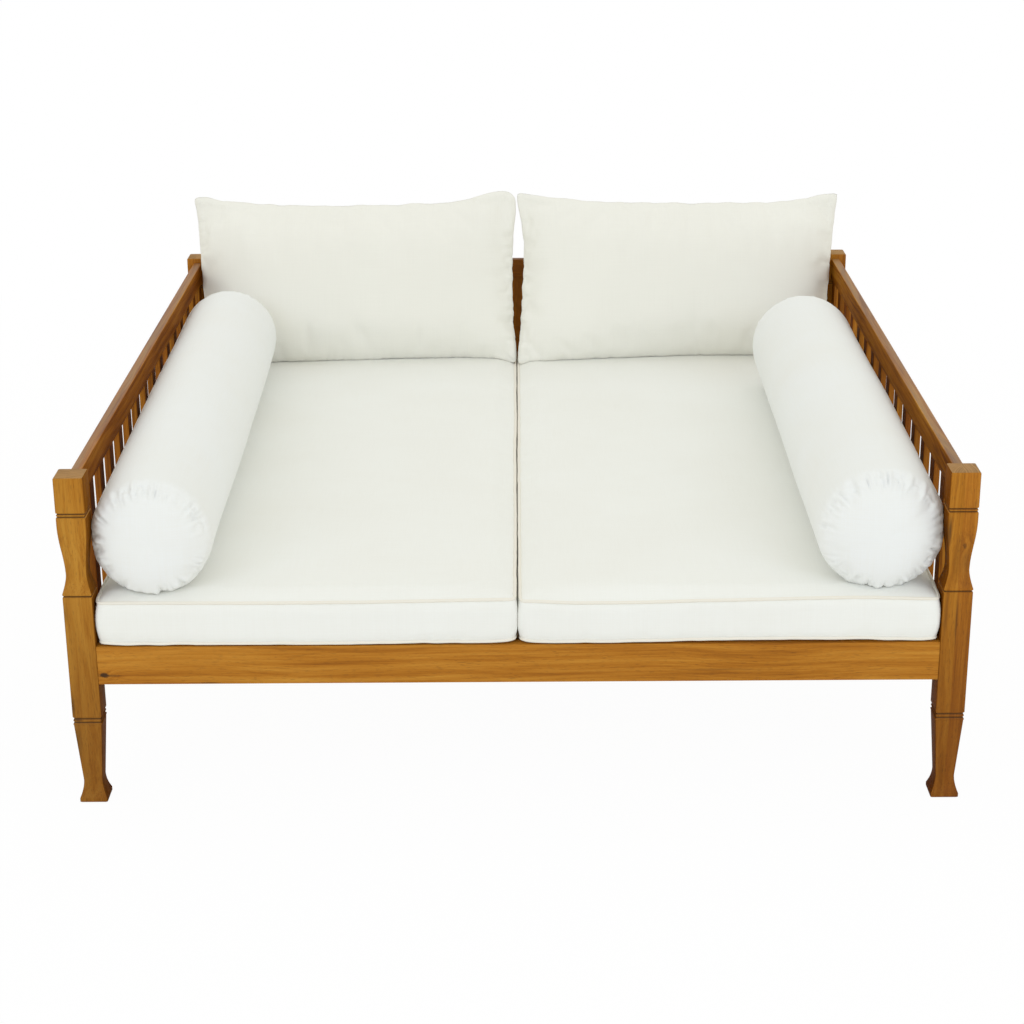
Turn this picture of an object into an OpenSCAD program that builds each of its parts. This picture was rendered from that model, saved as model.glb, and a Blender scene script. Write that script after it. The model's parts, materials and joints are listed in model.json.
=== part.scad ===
// Outdoor daybed: four shaped posts, slatted sides and back, a slatted deck, two box seat
// cushions, two knife-edge back cushions and two bolsters. Millimetres, +Z up. The origin is
// on the floor at the middle of the footprint, and the front faces -Y.

/* [Overall] */
// Width over the posts
overall_w = 1540; // [1400:10:1800]
// Depth over the posts
overall_d = 1590; // [1500:10:1800]
// Height of the posts from the floor
post_h = 605; // [560:5:700]
// Height of the deck, which is the top of the aprons and of the seat slats
deck_z = 298; // [290:1:310]

/* [Posts] */
// Side of the square posts
post_w = 50; // [50:1:60]
// Height of the plain block at the top of a post
cap_h = 62; // [60:1:66]
// Height of the double groove under the cap block
cap_groove_h = 10; // [8:1:14]
// Depth of every groove cut into the posts
groove_in = 2.2; // [1:0.1:4]
// Depth of the thin bead between two grooves
bead_in = 0.9; // [0:0.1:2]
// Plain stretch between the upper groove and the neck
neck_drop = 13; // [2:1:30]
// Height of the waist
waist_z = 428; // [415:1:440]
// How far each side draws in at the waist
waist_in = 7.4; // [2:0.1:10]
// Height of the collar that the waist flares out to
collar_z = 396; // [392:1:405]
// Height of the narrow collar face
collar_h = 1.6; // [1:0.1:3]
// Height of the single groove below the collar
collar_groove_h = 5; // [3:0.5:8]
// Height of the top of the double groove below the apron
leg_groove_z = 167; // [150:1:200]
// Height of the double groove below the apron
leg_groove_h = 14; // [8:1:20]
// How far each side of the lower leg starts in from the square
leg_in = 0.8; // [0:0.1:3]
// Height of the ankle
ankle_z = 42; // [30:1:60]
// How far each side draws in at the ankle
ankle_in = 8.7; // [3:0.1:12]
// Height of the square block of the foot
foot_h = 9; // [6:1:20]
// How far each side of the foot stands in from the square
foot_in = 0.8; // [0:0.1:3]
// Eased edge at the top and the foot of a post
post_ease = 1.2; // [0.5:0.1:2]

/* [Rails and aprons] */
// How far the top rails lie below the tops of the posts
rail_drop = 11; // [8:1:15]
// Height of a top rail
rail_h = 45; // [40:1:48]
// Thickness of a top rail
rail_t = 20; // [18:1:24]
// Rounding of the upper edges of a top rail
rail_round = 4; // [1:0.5:6]
// From the outer face of a post to the middle of the rails, slats and aprons beside it
panel_in = 24; // [20:1:24]
// Height of an apron
apron_h = 70; // [60:1:80]
// Thickness of an apron
apron_t = 24; // [20:1:26]
// How far the front apron lies behind the front faces of the posts
front_apron_in = 2; // [1:1:8]
// Eased edges of aprons, slats, ledgers and bearer
board_ease = 1.5; // [0.5:0.1:2]
// Thickness of a tenon
tenon_t = 10; // [8:1:10]
// Length of a tenon
tenon_l = 20; // [12:1:20]
// Shoulder above and below a tenon
tenon_shoulder = 8; // [5:1:12]

/* [Side and back slats] */
// Width of an upright slat
slat_w = 35; // [25:1:45]
// Thickness of an upright slat
slat_t = 11.5; // [8:0.5:14]
// Depth of the pocket that holds each end of an upright slat
slat_pocket = 12; // [8:1:16]
// Upright slats in one side
side_slats = 16; // [8:1:18]
// Upright slats in the back
back_slats_n = 15; // [7:2:17]
// Gap between the end slats and the posts
slat_end_gap = 2; // [1:0.5:10]

/* [Deck] */
// Seat slats across the frame
seat_slats = 14; // [8:1:14]
// Width of a seat slat
seat_slat_w = 60; // [40:1:80]
// Thickness of a seat slat
seat_slat_t = 14; // [10:1:16]
// Gap between a seat slat's ends and the side aprons
seat_slat_gap = 1; // [0.5:0.5:3]
// Height of a ledger
ledger_h = 22; // [18:1:24]
// Thickness of a ledger
ledger_t = 20; // [16:1:24]
// Width of the centre bearer
bearer_w = 30; // [26:1:40]
// Height of the centre bearer
bearer_h = 50; // [40:1:54]
// Side of the centre leg
centre_leg_w = 45; // [36:1:60]

/* [Hardware] */
// Thickness of the folded steel
plate_t = 2.5; // [1.5:0.5:4]
// Clearance between a corner bracket and the ledger above it
bracket_gap = 4.5; // [2:0.5:10]
// Length of a flange of a corner bracket
bracket_flange = 30; // [20:1:40]
// From a post's inner corner to the face of its corner bracket
bracket_stand_off = 11; // [8:1:16]
// Radius of the hanger bolts
bolt_r = 4; // [3:0.5:5]
// Depth that a hanger bolt is driven into the wood
bolt_in = 20; // [14:1:22]
// Width of a hex nut across its corners
nut_w = 15; // [12:0.5:18]
// Thickness of a hex nut
nut_t = 6.5; // [4:0.5:8]
// Radius of a wood screw
screw_r = 2; // [1.5:0.1:2.5]
// Radius of a screw head
screw_head_r = 4; // [3.5:0.1:5]
// Thickness of a screw head
screw_head_t = 2.4; // [1.5:0.1:3]
// Length that a screw reaches into the second board
screw_bite = 12; // [8:1:14]
// Thickness of a foot glide
glide_t = 2; // [1:0.5:3]
// Radius of a foot glide
glide_r = 14; // [8:1:18]

/* [Cushions] */
// Thickness of a seat cushion at its piping
seat_cushion_t = 84; // [60:1:100]
// How much the middle of a seat cushion swells above its piping
seat_crown = 6; // [2:1:15]
// Gap between a seat cushion and the posts beside it
seat_side_gap = 3; // [2:1:12]
// Gap between the two seat cushions
seat_middle_gap = 3; // [2:1:10]
// Gap between a seat cushion and the back rail
seat_back_gap = 6; // [3:1:30]
// Radius of the corners of a seat cushion seen from above
seat_corner_r = 16; // [14:1:60]
// How far the sides of a seat cushion draw in between its corners
seat_draw = 3; // [0:1:8]
// How far the piping stands out from a seat cushion's sides
seat_welt = 4; // [2:1:6]
// From the outer face of a post to a back cushion's outer corner
pillow_side_gap = 28; // [20:1:60]
// Gap between the two back cushions at their corners
pillow_middle_gap = 8; // [4:1:20]
// How far the ends of a back cushion draw in between its corners
pillow_side_draw = 15; // [5:1:30]
// Height of a back cushion at its middle
pillow_h = 358; // [300:1:420]
// How far the upper corners of a back cushion stand above its middle
pillow_ear = 30; // [10:1:50]
// Thickness of a back cushion
pillow_t = 110; // [80:1:120]
// Angle that a back cushion leans from upright
pillow_lean = 17; // [10:1:20]
// Radius of the left bolster
left_bolster_r = 103; // [80:1:110]
// Radius of the right bolster, which is filled tighter
right_bolster_r = 108; // [80:1:110]
// From the outer face of the left posts to the left bolster's axis at its front end
left_bolster_in = 147; // [140:1:200]
// From the outer face of the right posts to the right bolster's axis at its front end
right_bolster_in = 151; // [140:1:200]
// How much nearer the side the left bolster's axis lies at its rear end
left_bolster_skew = 23; // [0:1:30]
// How much nearer the side the right bolster's axis lies at its rear end
right_bolster_skew = 9; // [0:1:30]
// From the front of the frame to the front end of a bolster
bolster_front = 20; // [10:1:60]
// From the rear end of the left bolster to the rear of the frame
left_bolster_back = 250; // [230:5:600]
// From the rear end of the right bolster to the rear of the frame
right_bolster_back = 365; // [230:5:600]
// How far the middle of a bolster's end panel swells out
bolster_dome = 18; // [8:1:30]
// How deep a bolster settles on the seat cushion
bolster_sink = 9; // [2:1:15]
// Gap between the loose soft pieces and the side rails that they lift out past
lift_gap = 3; // [1:1:20]

/* [Hidden] */
// Clearance round a tenon, a slat end or a screw in its hole
fit_gap = 0.2;
// Clearance of loose soft pieces from what they rest on
rest_gap = 0.3;
// Length by which a cut runs past the face it opens
over = 1;
// Fineness of the small circles
$fn = 32;
// Steps of an eased edge and of the curved stretches of the post
edge_steps = 3;
neck_steps = 9;
flare_steps = 6;
// Places down a double groove: share of its height, share of the groove depth, share of the bead
double_groove_shares = [[0, 0, 0], [0.25, 1, 0], [0.42, 0, 1], [0.58, 0, 1], [0.75, 1, 0], [1, 0, 0]];
// Powers of the curves that flare to the collar and to the foot
collar_power = 1.5;
foot_power = 1.9;
// Place of a corner bracket's screw along its flange
bracket_screw_share = 0.6;
// Height of a bearer hanger as a share of the bearer's height
hanger_share = 0.96;
// Steps round a seat cushion's corner and along its side, across and up a back cushion, round and
// along a bolster
corner_steps = 5;
side_steps = 6;
pillow_u = 18;
pillow_v = 12;
bolster_steps = 28;
bolster_rings = 8;
// Up a seat cushion's side: shares of its thickness, and how far in as shares of the piping's stand-out
seat_side_shares = [
  [0, 2], [0.03, 0.5], [0.07, 0], [0.12, 0.45], [0.5, 0.2], [0.88, 0.45], [0.93, 0], [0.97, 0.5], [1, 2]
];
// Rings of a seat cushion's top and bottom, as shares of its plan
seat_ring_shares = [0.86, 0.6, 0.3];
// Power of the crown of a seat cushion
crown_power = 4;
// Powers of a back cushion's drawn-in edges and of its thickness towards the seams, and its fullness
pillow_edge_power = 2.6;
pillow_fill_power = 2.6;
pillow_fullness = 0.62;
// Along a bolster's end: how far in from the end as shares of the dome, and shares of the radius
bolster_end_shares = [
  [0.1, 0.35], [0.4, 0.68], [0.85, 0.88], [1.3, 0.955], [1.5, 0.93], [1.9, 0.985], [3.2, 1]
];
// How far a bolster may swell out behind the front post, as a share of the length behind it
bolster_swell_share = 0.26;

half_w = overall_w / 2;
half_d = overall_d / 2;
rail_top = post_h - rail_drop;
rail_bottom = rail_top - rail_h;
apron_bottom = deck_z - apron_h;
inner_w = overall_w - 2 * post_w;
inner_d = overall_d - 2 * post_w;
apron_face_in = panel_in + apron_t / 2;
front_face_in = front_apron_in + apron_t;
rail_face_in = panel_in + rail_t / 2;
slat_bottom = deck_z - slat_pocket + fit_gap;
slat_top = rail_bottom + slat_pocket - fit_gap;
side_pitch = (inner_d - 2 * slat_end_gap - slat_w) / (side_slats - 1);
back_pitch = (inner_w - 2 * slat_end_gap - slat_w) / (back_slats_n - 1);
seat_slat_l = overall_w - 2 * (apron_face_in + seat_slat_gap);
seat_pitch = (inner_d - 2 * slat_end_gap - seat_slat_w) / (seat_slats - 1);
support_z = deck_z - seat_slat_t;
neck_top_z = post_h - cap_h - cap_groove_h - neck_drop;
bracket_bottom = apron_bottom + board_ease;
bracket_h = support_z - ledger_h - bracket_gap - bracket_bottom;
bracket_z = bracket_bottom + bracket_h / 2;
ledger_x = half_w - apron_face_in - ledger_t / 2;
hanger_h = bearer_h * hanger_share;
wood = "peru";
wood_dark = "sienna";
canvas = "ivory";
steel = "silver";

// Seat cushions rest on the deck, and the rest of the soft pieces on them
seat_bottom = deck_z + rest_gap;
seat_rim = seat_bottom + seat_cushion_t;
seat_top = seat_rim + seat_crown;
seat_l = overall_d - front_apron_in - rail_face_in - seat_back_gap;
seat_w = half_w - post_w - seat_side_gap - seat_middle_gap / 2;
seat_x = (seat_middle_gap / 2 + half_w - post_w - seat_side_gap) / 2;
seat_y = (front_apron_in - rail_face_in - seat_back_gap) / 2;
pillow_w = half_w - pillow_side_gap - pillow_middle_gap / 2;
pillow_x = (pillow_w + pillow_middle_gap) / 2;
// The back cushion's foot stands where its leaning back face just clears the rail's upper edge
pillow_rise = rail_top - seat_rim;
pillow_y = half_d - rail_face_in
  - (pillow_t / 2 + rest_gap + pillow_rise * sin(pillow_lean)) / cos(pillow_lean);

// Eases from 0 to 1 with level ends
function ease(t) = (1 - cos(180 * t)) / 2;

// A quarter of a rounded edge about (x, y), from angle a on
function round_edge(x, y, r, a) =
  [for (i = [0:edge_steps]) let (t = a + 90 * i / edge_steps) [x + r * cos(t), y + r * sin(t)]];

// Section of a board: thickness across, height up, and the radii of its upper and lower edges
function board_section(t, h, top_r, low_r) = concat(
  round_edge(t / 2 - top_r, h / 2 - top_r, top_r, 0),
  round_edge(top_r - t / 2, h / 2 - top_r, top_r, 90),
  round_edge(low_r - t / 2, low_r - h / 2, low_r, 180),
  round_edge(t / 2 - low_r, low_r - h / 2, low_r, 270)
);

// One side of the post, from its top down, as [how far in, height]
function double_groove(z, h) =
  [for (s = double_groove_shares) [groove_in * s[1] + bead_in * s[2], z - h * s[0]]];
function neck() =
  [for (i = [1:neck_steps]) let (t = i / neck_steps)
    [waist_in * ease(t), neck_top_z - (neck_top_z - waist_z) * t]];
function collar() =
  [for (i = [1:flare_steps]) let (t = i / flare_steps)
    [waist_in * (1 - pow(t, collar_power)), waist_z - (waist_z - collar_z) * t]];
function single_groove(z, h) = [[0, z], [groove_in, z - h / 2], [0, z - h]];
function foot() =
  [for (i = [0:flare_steps]) let (t = i / flare_steps)
    [foot_in + (ankle_in - foot_in) * (1 - pow(t, foot_power)), ankle_z - (ankle_z - foot_h) * t]];
post_side = concat(
  [[post_ease, post_h], [0, post_h - post_ease]],
  double_groove(post_h - cap_h, cap_groove_h),
  [[0, neck_top_z]],
  neck(),
  collar(),
  single_groove(collar_z - collar_h, collar_groove_h),
  double_groove(leg_groove_z, leg_groove_h),
  [[leg_in, leg_groove_z - leg_groove_h]],
  foot(),
  [[foot_in, glide_t + post_ease], [foot_in + post_ease, glide_t]]
);
post_outline = concat(
  [for (p = post_side) [post_w / 2 - p[0], p[1]]],
  [for (i = [len(post_side) - 1:-1:0]) [post_side[i][0] - post_w / 2, post_side[i][1]]]
);

// Puts its children, drawn inwards from a corner of the footprint, at one of the four corners
module at_corner(side, end)
  translate([side * half_w, end * half_d, 0])
    mirror([side > 0 ? 1 : 0, 0, 0])
      mirror([0, end > 0 ? 1 : 0, 0])
        children();

// Slot in a post for a tenon that enters along X at the given distance in, or along Y
module mortise_x(in, z_mid, h)
  translate([post_w - tenon_l, in - tenon_t / 2 - fit_gap, z_mid - h / 2 - fit_gap])
    cube([tenon_l + over, tenon_t + 2 * fit_gap, h + 2 * fit_gap]);
module mortise_y(in, z_mid, h)
  translate([in - tenon_t / 2 - fit_gap, post_w - tenon_l, z_mid - h / 2 - fit_gap])
    cube([tenon_t + 2 * fit_gap, tenon_l + over, h + 2 * fit_gap]);

// The four-sided shape: the same outline cut from two directions
module post_form() intersection() {
  rotate([90, 0, 0]) linear_extrude(post_w, center = true) polygon(post_outline);
  rotate([90, 0, 90]) linear_extrude(post_w, center = true) polygon(post_outline);
}

// A post with its mortises, drawn from its outer corner inwards
module post(side, end) color(wood) at_corner(side, end) difference() {
  translate([post_w / 2, post_w / 2, 0]) post_form();
  mortise_y(panel_in, rail_top - rail_h / 2, rail_h - 2 * tenon_shoulder);
  mortise_y(panel_in, deck_z - apron_h / 2, apron_h - 2 * tenon_shoulder);
  mortise_x(apron_face(end) - apron_t / 2, deck_z - apron_h / 2, apron_h - 2 * tenon_shoulder);
  if (end > 0) mortise_x(panel_in, rail_top - rail_h / 2, rail_h - 2 * tenon_shoulder);
  diagonal(bracket_z) cylinder(r = bolt_r + fit_gap, h = 2 * (bolt_in + fit_gap), center = true);
}

// Along the diagonal of a corner, from the post's inner corner out into the frame
module diagonal(z)
  translate([post_w, post_w, z]) rotate([0, 90, 45]) children();

// A board along X with a tenon at each end, between two posts
module tenoned_board(length, t, h, top_r) {
  rotate([90, 0, 90]) linear_extrude(length, center = true) polygon(board_section(t, h, top_r, board_ease));
  for (s = [-1, 1])
    translate([s * (length + tenon_l - fit_gap) / 2, 0, 0])
      cube([tenon_l - fit_gap, tenon_t, h - 2 * tenon_shoulder], center = true);
}

// An upright slat and the pocket that an end of one fits
module slat()
  translate([0, 0, slat_bottom]) linear_extrude(slat_top - slat_bottom)
    polygon(board_section(slat_w, slat_t, board_ease, board_ease));
module pocket(z)
  translate([0, 0, z]) cube([slat_w + 2 * fit_gap, slat_t + 2 * fit_gap, 2 * slat_pocket], center = true);

// The row of slats of a side or of the back, along X
module slat_places(count, pitch)
  for (i = [0:count - 1]) translate([(i - (count - 1) / 2) * pitch, 0, 0]) children();

module side_frame(side)
  translate([side * (half_w - panel_in), 0, 0]) rotate([0, 0, 90]) children();
module back_frame()
  translate([0, half_d - panel_in, 0]) children();

module top_rail(length, count, pitch) color(wood) difference() {
  translate([0, 0, rail_top - rail_h / 2]) tenoned_board(length, rail_t, rail_h, rail_round);
  slat_places(count, pitch) pocket(rail_bottom);
}

module slatted_apron(length, count, pitch) color(wood) difference() {
  translate([0, 0, deck_z - apron_h / 2]) tenoned_board(length, apron_t, apron_h, board_ease);
  slat_places(count, pitch) pocket(deck_z);
}

module side_apron(side) difference() {
  side_frame(side) slatted_apron(inner_d, side_slats, side_pitch);
  ledger_screw_places(side) pan_screw_hole(ledger_t);
  for (end = [-1, 1]) at_corner(side, end) side_flange_screw(end) pan_screw_hole(plate_t);
}

module front_apron() color(wood) difference() {
  translate([0, front_apron_in + apron_t / 2 - half_d, deck_z - apron_h / 2])
    tenoned_board(inner_w, apron_t, apron_h, board_ease);
  for (side = [-1, 1]) at_corner(side, -1) end_flange_screw(-1) pan_screw_hole(plate_t);
  hanger_screw_places(-1) pan_screw_hole(plate_t);
}

module rear_apron() difference() {
  back_frame() slatted_apron(inner_w, back_slats_n, back_pitch);
  for (side = [-1, 1]) at_corner(side, 1) end_flange_screw(1) pan_screw_hole(plate_t);
  hanger_screw_places(1) pan_screw_hole(plate_t);
}

module side_top_rail(side) side_frame(side) top_rail(inner_d, side_slats, side_pitch);
module back_top_rail() back_frame() top_rail(inner_w, back_slats_n, back_pitch);
module side_slat_set(side) color(wood) side_frame(side) slat_places(side_slats, side_pitch) slat();
module back_slat_set() color(wood) back_frame() slat_places(back_slats_n, back_pitch) slat();

// Where the deck's screws go: two ledgers and the bearer, at every seat slat
function seat_slat_y(i) = (i - (seat_slats + 1) / 2) * seat_pitch;
module slat_screw_places(i)
  for (x = [-ledger_x, 0, ledger_x]) translate([x, seat_slat_y(i), deck_z]) children();

// A countersunk screw with its head flush at the origin and its point down, and its hole
module flat_screw(extra) {
  translate([0, 0, -screw_head_t - extra])
    cylinder(r1 = screw_r + extra, r2 = screw_head_r + extra, h = screw_head_t + extra);
  translate([0, 0, -seat_slat_t - screw_bite - extra])
    cylinder(r = screw_r + extra, h = seat_slat_t + screw_bite - screw_head_t);
}
module flat_screw_hole() {
  flat_screw(fit_gap);
  cylinder(r = screw_head_r + fit_gap, h = over);
}

// A pan-head screw through a first board of the given thickness, its head on the origin's plane
module pan_screw(first) {
  cylinder(r = screw_head_r, h = screw_head_t);
  translate([0, 0, -first - screw_bite]) cylinder(r = screw_r, h = first + screw_bite);
}
module pan_screw_hole(first)
  translate([0, 0, -first - screw_bite - fit_gap])
    cylinder(r = screw_r + fit_gap, h = first + screw_bite + over);

module seat_slat(i) color(wood) difference() {
  translate([0, seat_slat_y(i), deck_z - seat_slat_t / 2]) rotate([90, 0, 90])
    linear_extrude(seat_slat_l, center = true)
      polygon(board_section(seat_slat_w, seat_slat_t, board_ease, board_ease));
  slat_screw_places(i) flat_screw_hole();
}

module deck_board(x, length, w, h, y) difference() {
  translate([x, y, support_z - h / 2]) rotate([90, 0, 0])
    linear_extrude(length, center = true) polygon(board_section(w, h, board_ease, board_ease));
  for (i = [1:seat_slats]) slat_screw_places(i) flat_screw_hole();
}

module ledger(side) color(wood_dark) difference() {
  deck_board(side * ledger_x, inner_d, ledger_t, ledger_h, 0);
  ledger_screw_places(side) pan_screw_hole(ledger_t);
}

// The bearer runs between the two aprons, and lies in the hangers by the thickness of their plates
bearer_l = overall_d - front_face_in - apron_face_in - 2 * plate_t;
bearer_y = (front_face_in - apron_face_in) / 2;
module centre_bearer() color(wood_dark) difference() {
  deck_board(0, bearer_l, bearer_w, bearer_h, bearer_y);
  leg_bolt(fit_gap);
}

module centre_leg() color(wood) difference() {
  translate([0, 0, glide_t]) linear_extrude(support_z - bearer_h - glide_t)
    polygon(board_section(centre_leg_w, centre_leg_w, board_ease, board_ease));
  leg_bolt(fit_gap);
}
module leg_bolt(extra)
  translate([0, 0, support_z - bearer_h])
    cylinder(r = bolt_r + extra, h = 2 * (bolt_in + extra), center = true);

// A stirrup of folded steel: a plate on the apron, a seat under the bearer and two cheeks
function apron_face(end) = end < 0 ? front_face_in : apron_face_in;
module bearer_hanger(end) color(steel) difference() {
  translate([0, end * (half_d - apron_face(end)), support_z - bearer_h]) mirror([0, end > 0 ? 1 : 0, 0]) {
    translate([-bearer_w / 2 - bracket_flange, 0, 0])
      cube([bearer_w + 2 * bracket_flange, plate_t, hanger_h]);
    difference() {
      translate([-bearer_w / 2 - plate_t - fit_gap, 0, -plate_t])
        cube([bearer_w + 2 * (plate_t + fit_gap), bracket_flange, hanger_h + plate_t]);
      translate([-bearer_w / 2 - fit_gap, plate_t, 0])
        cube([bearer_w + 2 * fit_gap, bracket_flange, hanger_h + over]);
    }
  }
  hanger_screw_places(end) pan_screw_hole(plate_t);
}
module hanger_screw_places(end)
  for (s = [-1, 1])
    translate([
      s * (bearer_w + bracket_flange + plate_t) / 2,
      end * (half_d - apron_face(end) - plate_t),
      support_z - bearer_h / 2
    ]) rotate([end * 90, 0, 0]) children();

// Corner bracket, seen from above: flange on the end apron, a diagonal web, flange on the side apron
function web_sum() = 2 * post_w + bracket_stand_off * sqrt(2);
module corner_bracket(side, end) color(steel) at_corner(side, end) difference() {
  face = apron_face(end);
  near = web_sum();
  far = near + plate_t * sqrt(2);
  translate([0, 0, bracket_z - bracket_h / 2]) linear_extrude(bracket_h) polygon([
    [near - face + bracket_flange, face],
    [near - face, face],
    [apron_face_in, near - apron_face_in],
    [apron_face_in, near - apron_face_in + bracket_flange],
    [apron_face_in + plate_t, near - apron_face_in + bracket_flange],
    [apron_face_in + plate_t, far - apron_face_in - plate_t],
    [far - face - plate_t, face + plate_t],
    [near - face + bracket_flange, face + plate_t]
  ]);
  diagonal(bracket_z) cylinder(r = bolt_r + fit_gap, h = 2 * bracket_flange, center = true);
  end_flange_screw(end) pan_screw_hole(plate_t);
  side_flange_screw(end) pan_screw_hole(plate_t);
}
module end_flange_screw(end)
  translate([
    web_sum() - apron_face(end) + bracket_flange * bracket_screw_share,
    apron_face(end) + plate_t,
    bracket_z
  ]) rotate([-90, 0, 0]) children();
module side_flange_screw(end)
  translate([
    apron_face_in + plate_t,
    web_sum() - apron_face_in + bracket_flange * bracket_screw_share,
    bracket_z
  ]) rotate([0, 90, 0]) children();

module corners() for (side = [-1, 1], end = [-1, 1]) at_corner(side, end) children();

nut_place = bracket_stand_off + plate_t;
module hanger_bolts() color(steel) corners() diagonal(bracket_z)
  translate([0, 0, -bolt_in]) cylinder(r = bolt_r, h = bolt_in + nut_place + nut_t + 2 * plate_t);
module hanger_nuts() color(steel) corners() diagonal(bracket_z) translate([0, 0, nut_place]) difference() {
  cylinder(r = nut_w / 2, h = nut_t, $fn = 6);
  translate([0, 0, -over]) cylinder(r = bolt_r + fit_gap / 2, h = nut_t + 2 * over);
}
module centre_leg_bolt() color(steel) leg_bolt(0);

module bracket_screws() color(steel) {
  for (side = [-1, 1], end = [-1, 1]) at_corner(side, end) {
    end_flange_screw(end) pan_screw(plate_t);
    side_flange_screw(end) pan_screw(plate_t);
  }
  for (end = [-1, 1]) hanger_screw_places(end) pan_screw(plate_t);
}

// Screws through a ledger, midway between the slat screws
module ledger_screw_places(side)
  for (i = [1:3:seat_slats - 1])
    translate([
      side * (half_w - apron_face_in - ledger_t),
      seat_slat_y(i) + seat_pitch / 2,
      support_z - ledger_h / 2
    ]) rotate([0, -side * 90, 0]) children();
module ledger_screws() color(steel) for (side = [-1, 1]) ledger_screw_places(side) pan_screw(ledger_t);

module slat_screws() color(steel) for (i = [1:seat_slats]) slat_screw_places(i) flat_screw(0);

module foot_glides() color("dimgray") {
  corners() translate([post_w / 2, post_w / 2, 0]) cylinder(r = glide_r, h = glide_t);
  cylinder(r = glide_r, h = glide_t);
}

// Rings of n points joined into a closed skin, with a fan from a last point at each end
function ring_faces(rings, n) = concat(
  [for (r = [0:rings - 2], i = [0:n - 1]) let (a = r * n + i, b = r * n + (i + 1) % n)
    each [[a, a + n, b], [b, a + n, b + n]]],
  [for (i = [0:n - 1]) [rings * n, i, (i + 1) % n]],
  [for (i = [0:n - 1]) [rings * n + 1, (rings - 1) * n + (i + 1) % n, (rings - 1) * n + i]]
);
function turned(faces) = [for (f = faces) [f[2], f[1], f[0]]];

// Plan of a seat cushion, shrunk by in: sides drawn in between rounded corners
function seat_plan(in) = let (a = seat_w / 2 - in, b = seat_l / 2 - in, r = seat_corner_r - in) concat(
  seat_corner(a, b, r, 0), seat_run([a - r, b], [r - a, b], [0, -1]),
  seat_corner(-a, b, r, 90), seat_run([-a, b - r], [-a, r - b], [1, 0]),
  seat_corner(-a, -b, r, 180), seat_run([r - a, -b], [a - r, -b], [0, 1]),
  seat_corner(a, -b, r, 270), seat_run([a, r - b], [a, b - r], [-1, 0])
);
function seat_corner(x, y, r, a) =
  [for (i = [0:corner_steps]) let (t = a + 90 * i / corner_steps)
    [x - sign(x) * r + r * cos(t), y - sign(y) * r + r * sin(t)]];
function seat_run(p, q, inward) =
  [for (i = [1:side_steps - 1]) let (t = i / side_steps) p + (q - p) * t + inward * seat_draw * sin(180 * t)];
// Height of the crown over a point of the plan
function bulge(t) = 1 - pow(min(1, abs(t)), crown_power);
function crown(p) = seat_crown * bulge(2 * p[0] / seat_w) * bulge(2 * p[1] / seat_l);
function seat_points() = let (rim = seat_plan(2 * seat_welt)) concat(
  [for (s = [seat_ring_shares[2], seat_ring_shares[0]], p = rim) [p[0] * s, p[1] * s, 0]],
  [for (s = seat_side_shares, p = seat_plan(seat_welt * s[1])) [p[0], p[1], seat_cushion_t * s[0]]],
  [for (s = seat_ring_shares, p = rim) [p[0] * s, p[1] * s, seat_cushion_t + crown(p * s)]],
  [[0, 0, 0], [0, 0, seat_cushion_t + seat_crown]]
);
seat_ring_n = 4 * (corner_steps + side_steps);
seat_rings = len(seat_side_shares) + len(seat_ring_shares) + 2;
module seat_cushion(side) color(canvas)
  translate([side * seat_x, seat_y, seat_bottom])
    polyhedron(seat_points(), ring_faces(seat_rings, seat_ring_n));

// What lies on a seat cushion is pressed flat on its crowned top
function on_seat(x, y, z) = max(z, seat_rim + rest_gap + crown([abs(x) - seat_x, y - seat_y]));

// Back cushion: a point at share u across and v up, from -1 to 1, on its front or back face.
// The shares crowd towards the seams, where the cushion turns
function crowded(t) = (t + sin(90 * t)) / 2;
function pillow_fill(u, v) =
  pow(max(0, (1 - pow(abs(u), pillow_fill_power)) * (1 - pow(abs(v), pillow_fill_power))), pillow_fullness);
function pillow_point(u, v, face) = let (
    across = u * (pillow_w / 2 - pillow_side_draw * (1 - pow(abs(v), pillow_edge_power))),
    up = pillow_h * (1 + v) / 2 + pillow_ear * pow(abs(u), pillow_edge_power) * pow(max(0, v), 2),
    out = face * pillow_t / 2 * pillow_fill(u, v)
  ) [across, up * sin(pillow_lean) + out * cos(pillow_lean), up * cos(pillow_lean) - out * sin(pillow_lean)];
// Where it stands on the seat cushion it is flat. Its outer side narrows downwards, along a line from
// the upper corner past the side rail, so that it lifts out between the rails
pillow_reach = half_w - rail_face_in - lift_gap;
pillow_tip = pillow_point(1, 1, 1);
pillow_taper = (pillow_x + pillow_tip[0] - pillow_reach) / (pillow_tip[2] - pillow_rise);
function pillow_place(p, side) = let (
    x = min(pillow_x + p[0], pillow_reach + pillow_taper * (p[2] - pillow_rise)),
    y = pillow_y + p[1]
  ) [side * x, y, on_seat(x, y, seat_rim + p[2])];
// All of the front face, then the back face between the seams
function pillow_points(side) = concat(
  [for (j = [0:pillow_v], i = [0:pillow_u])
    pillow_place(pillow_point(crowded(2 * i / pillow_u - 1), crowded(2 * j / pillow_v - 1), -1), side)],
  [for (j = [1:pillow_v - 1], i = [1:pillow_u - 1])
    pillow_place(pillow_point(crowded(2 * i / pillow_u - 1), crowded(2 * j / pillow_v - 1), 1), side)]
);
function front_index(i, j) = j * (pillow_u + 1) + i;
function back_index(i, j) =
  i == 0 || i == pillow_u || j == 0 || j == pillow_v
    ? front_index(i, j)
    : (pillow_u + 1) * (pillow_v + 1) + (j - 1) * (pillow_u - 1) + i - 1;
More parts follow.
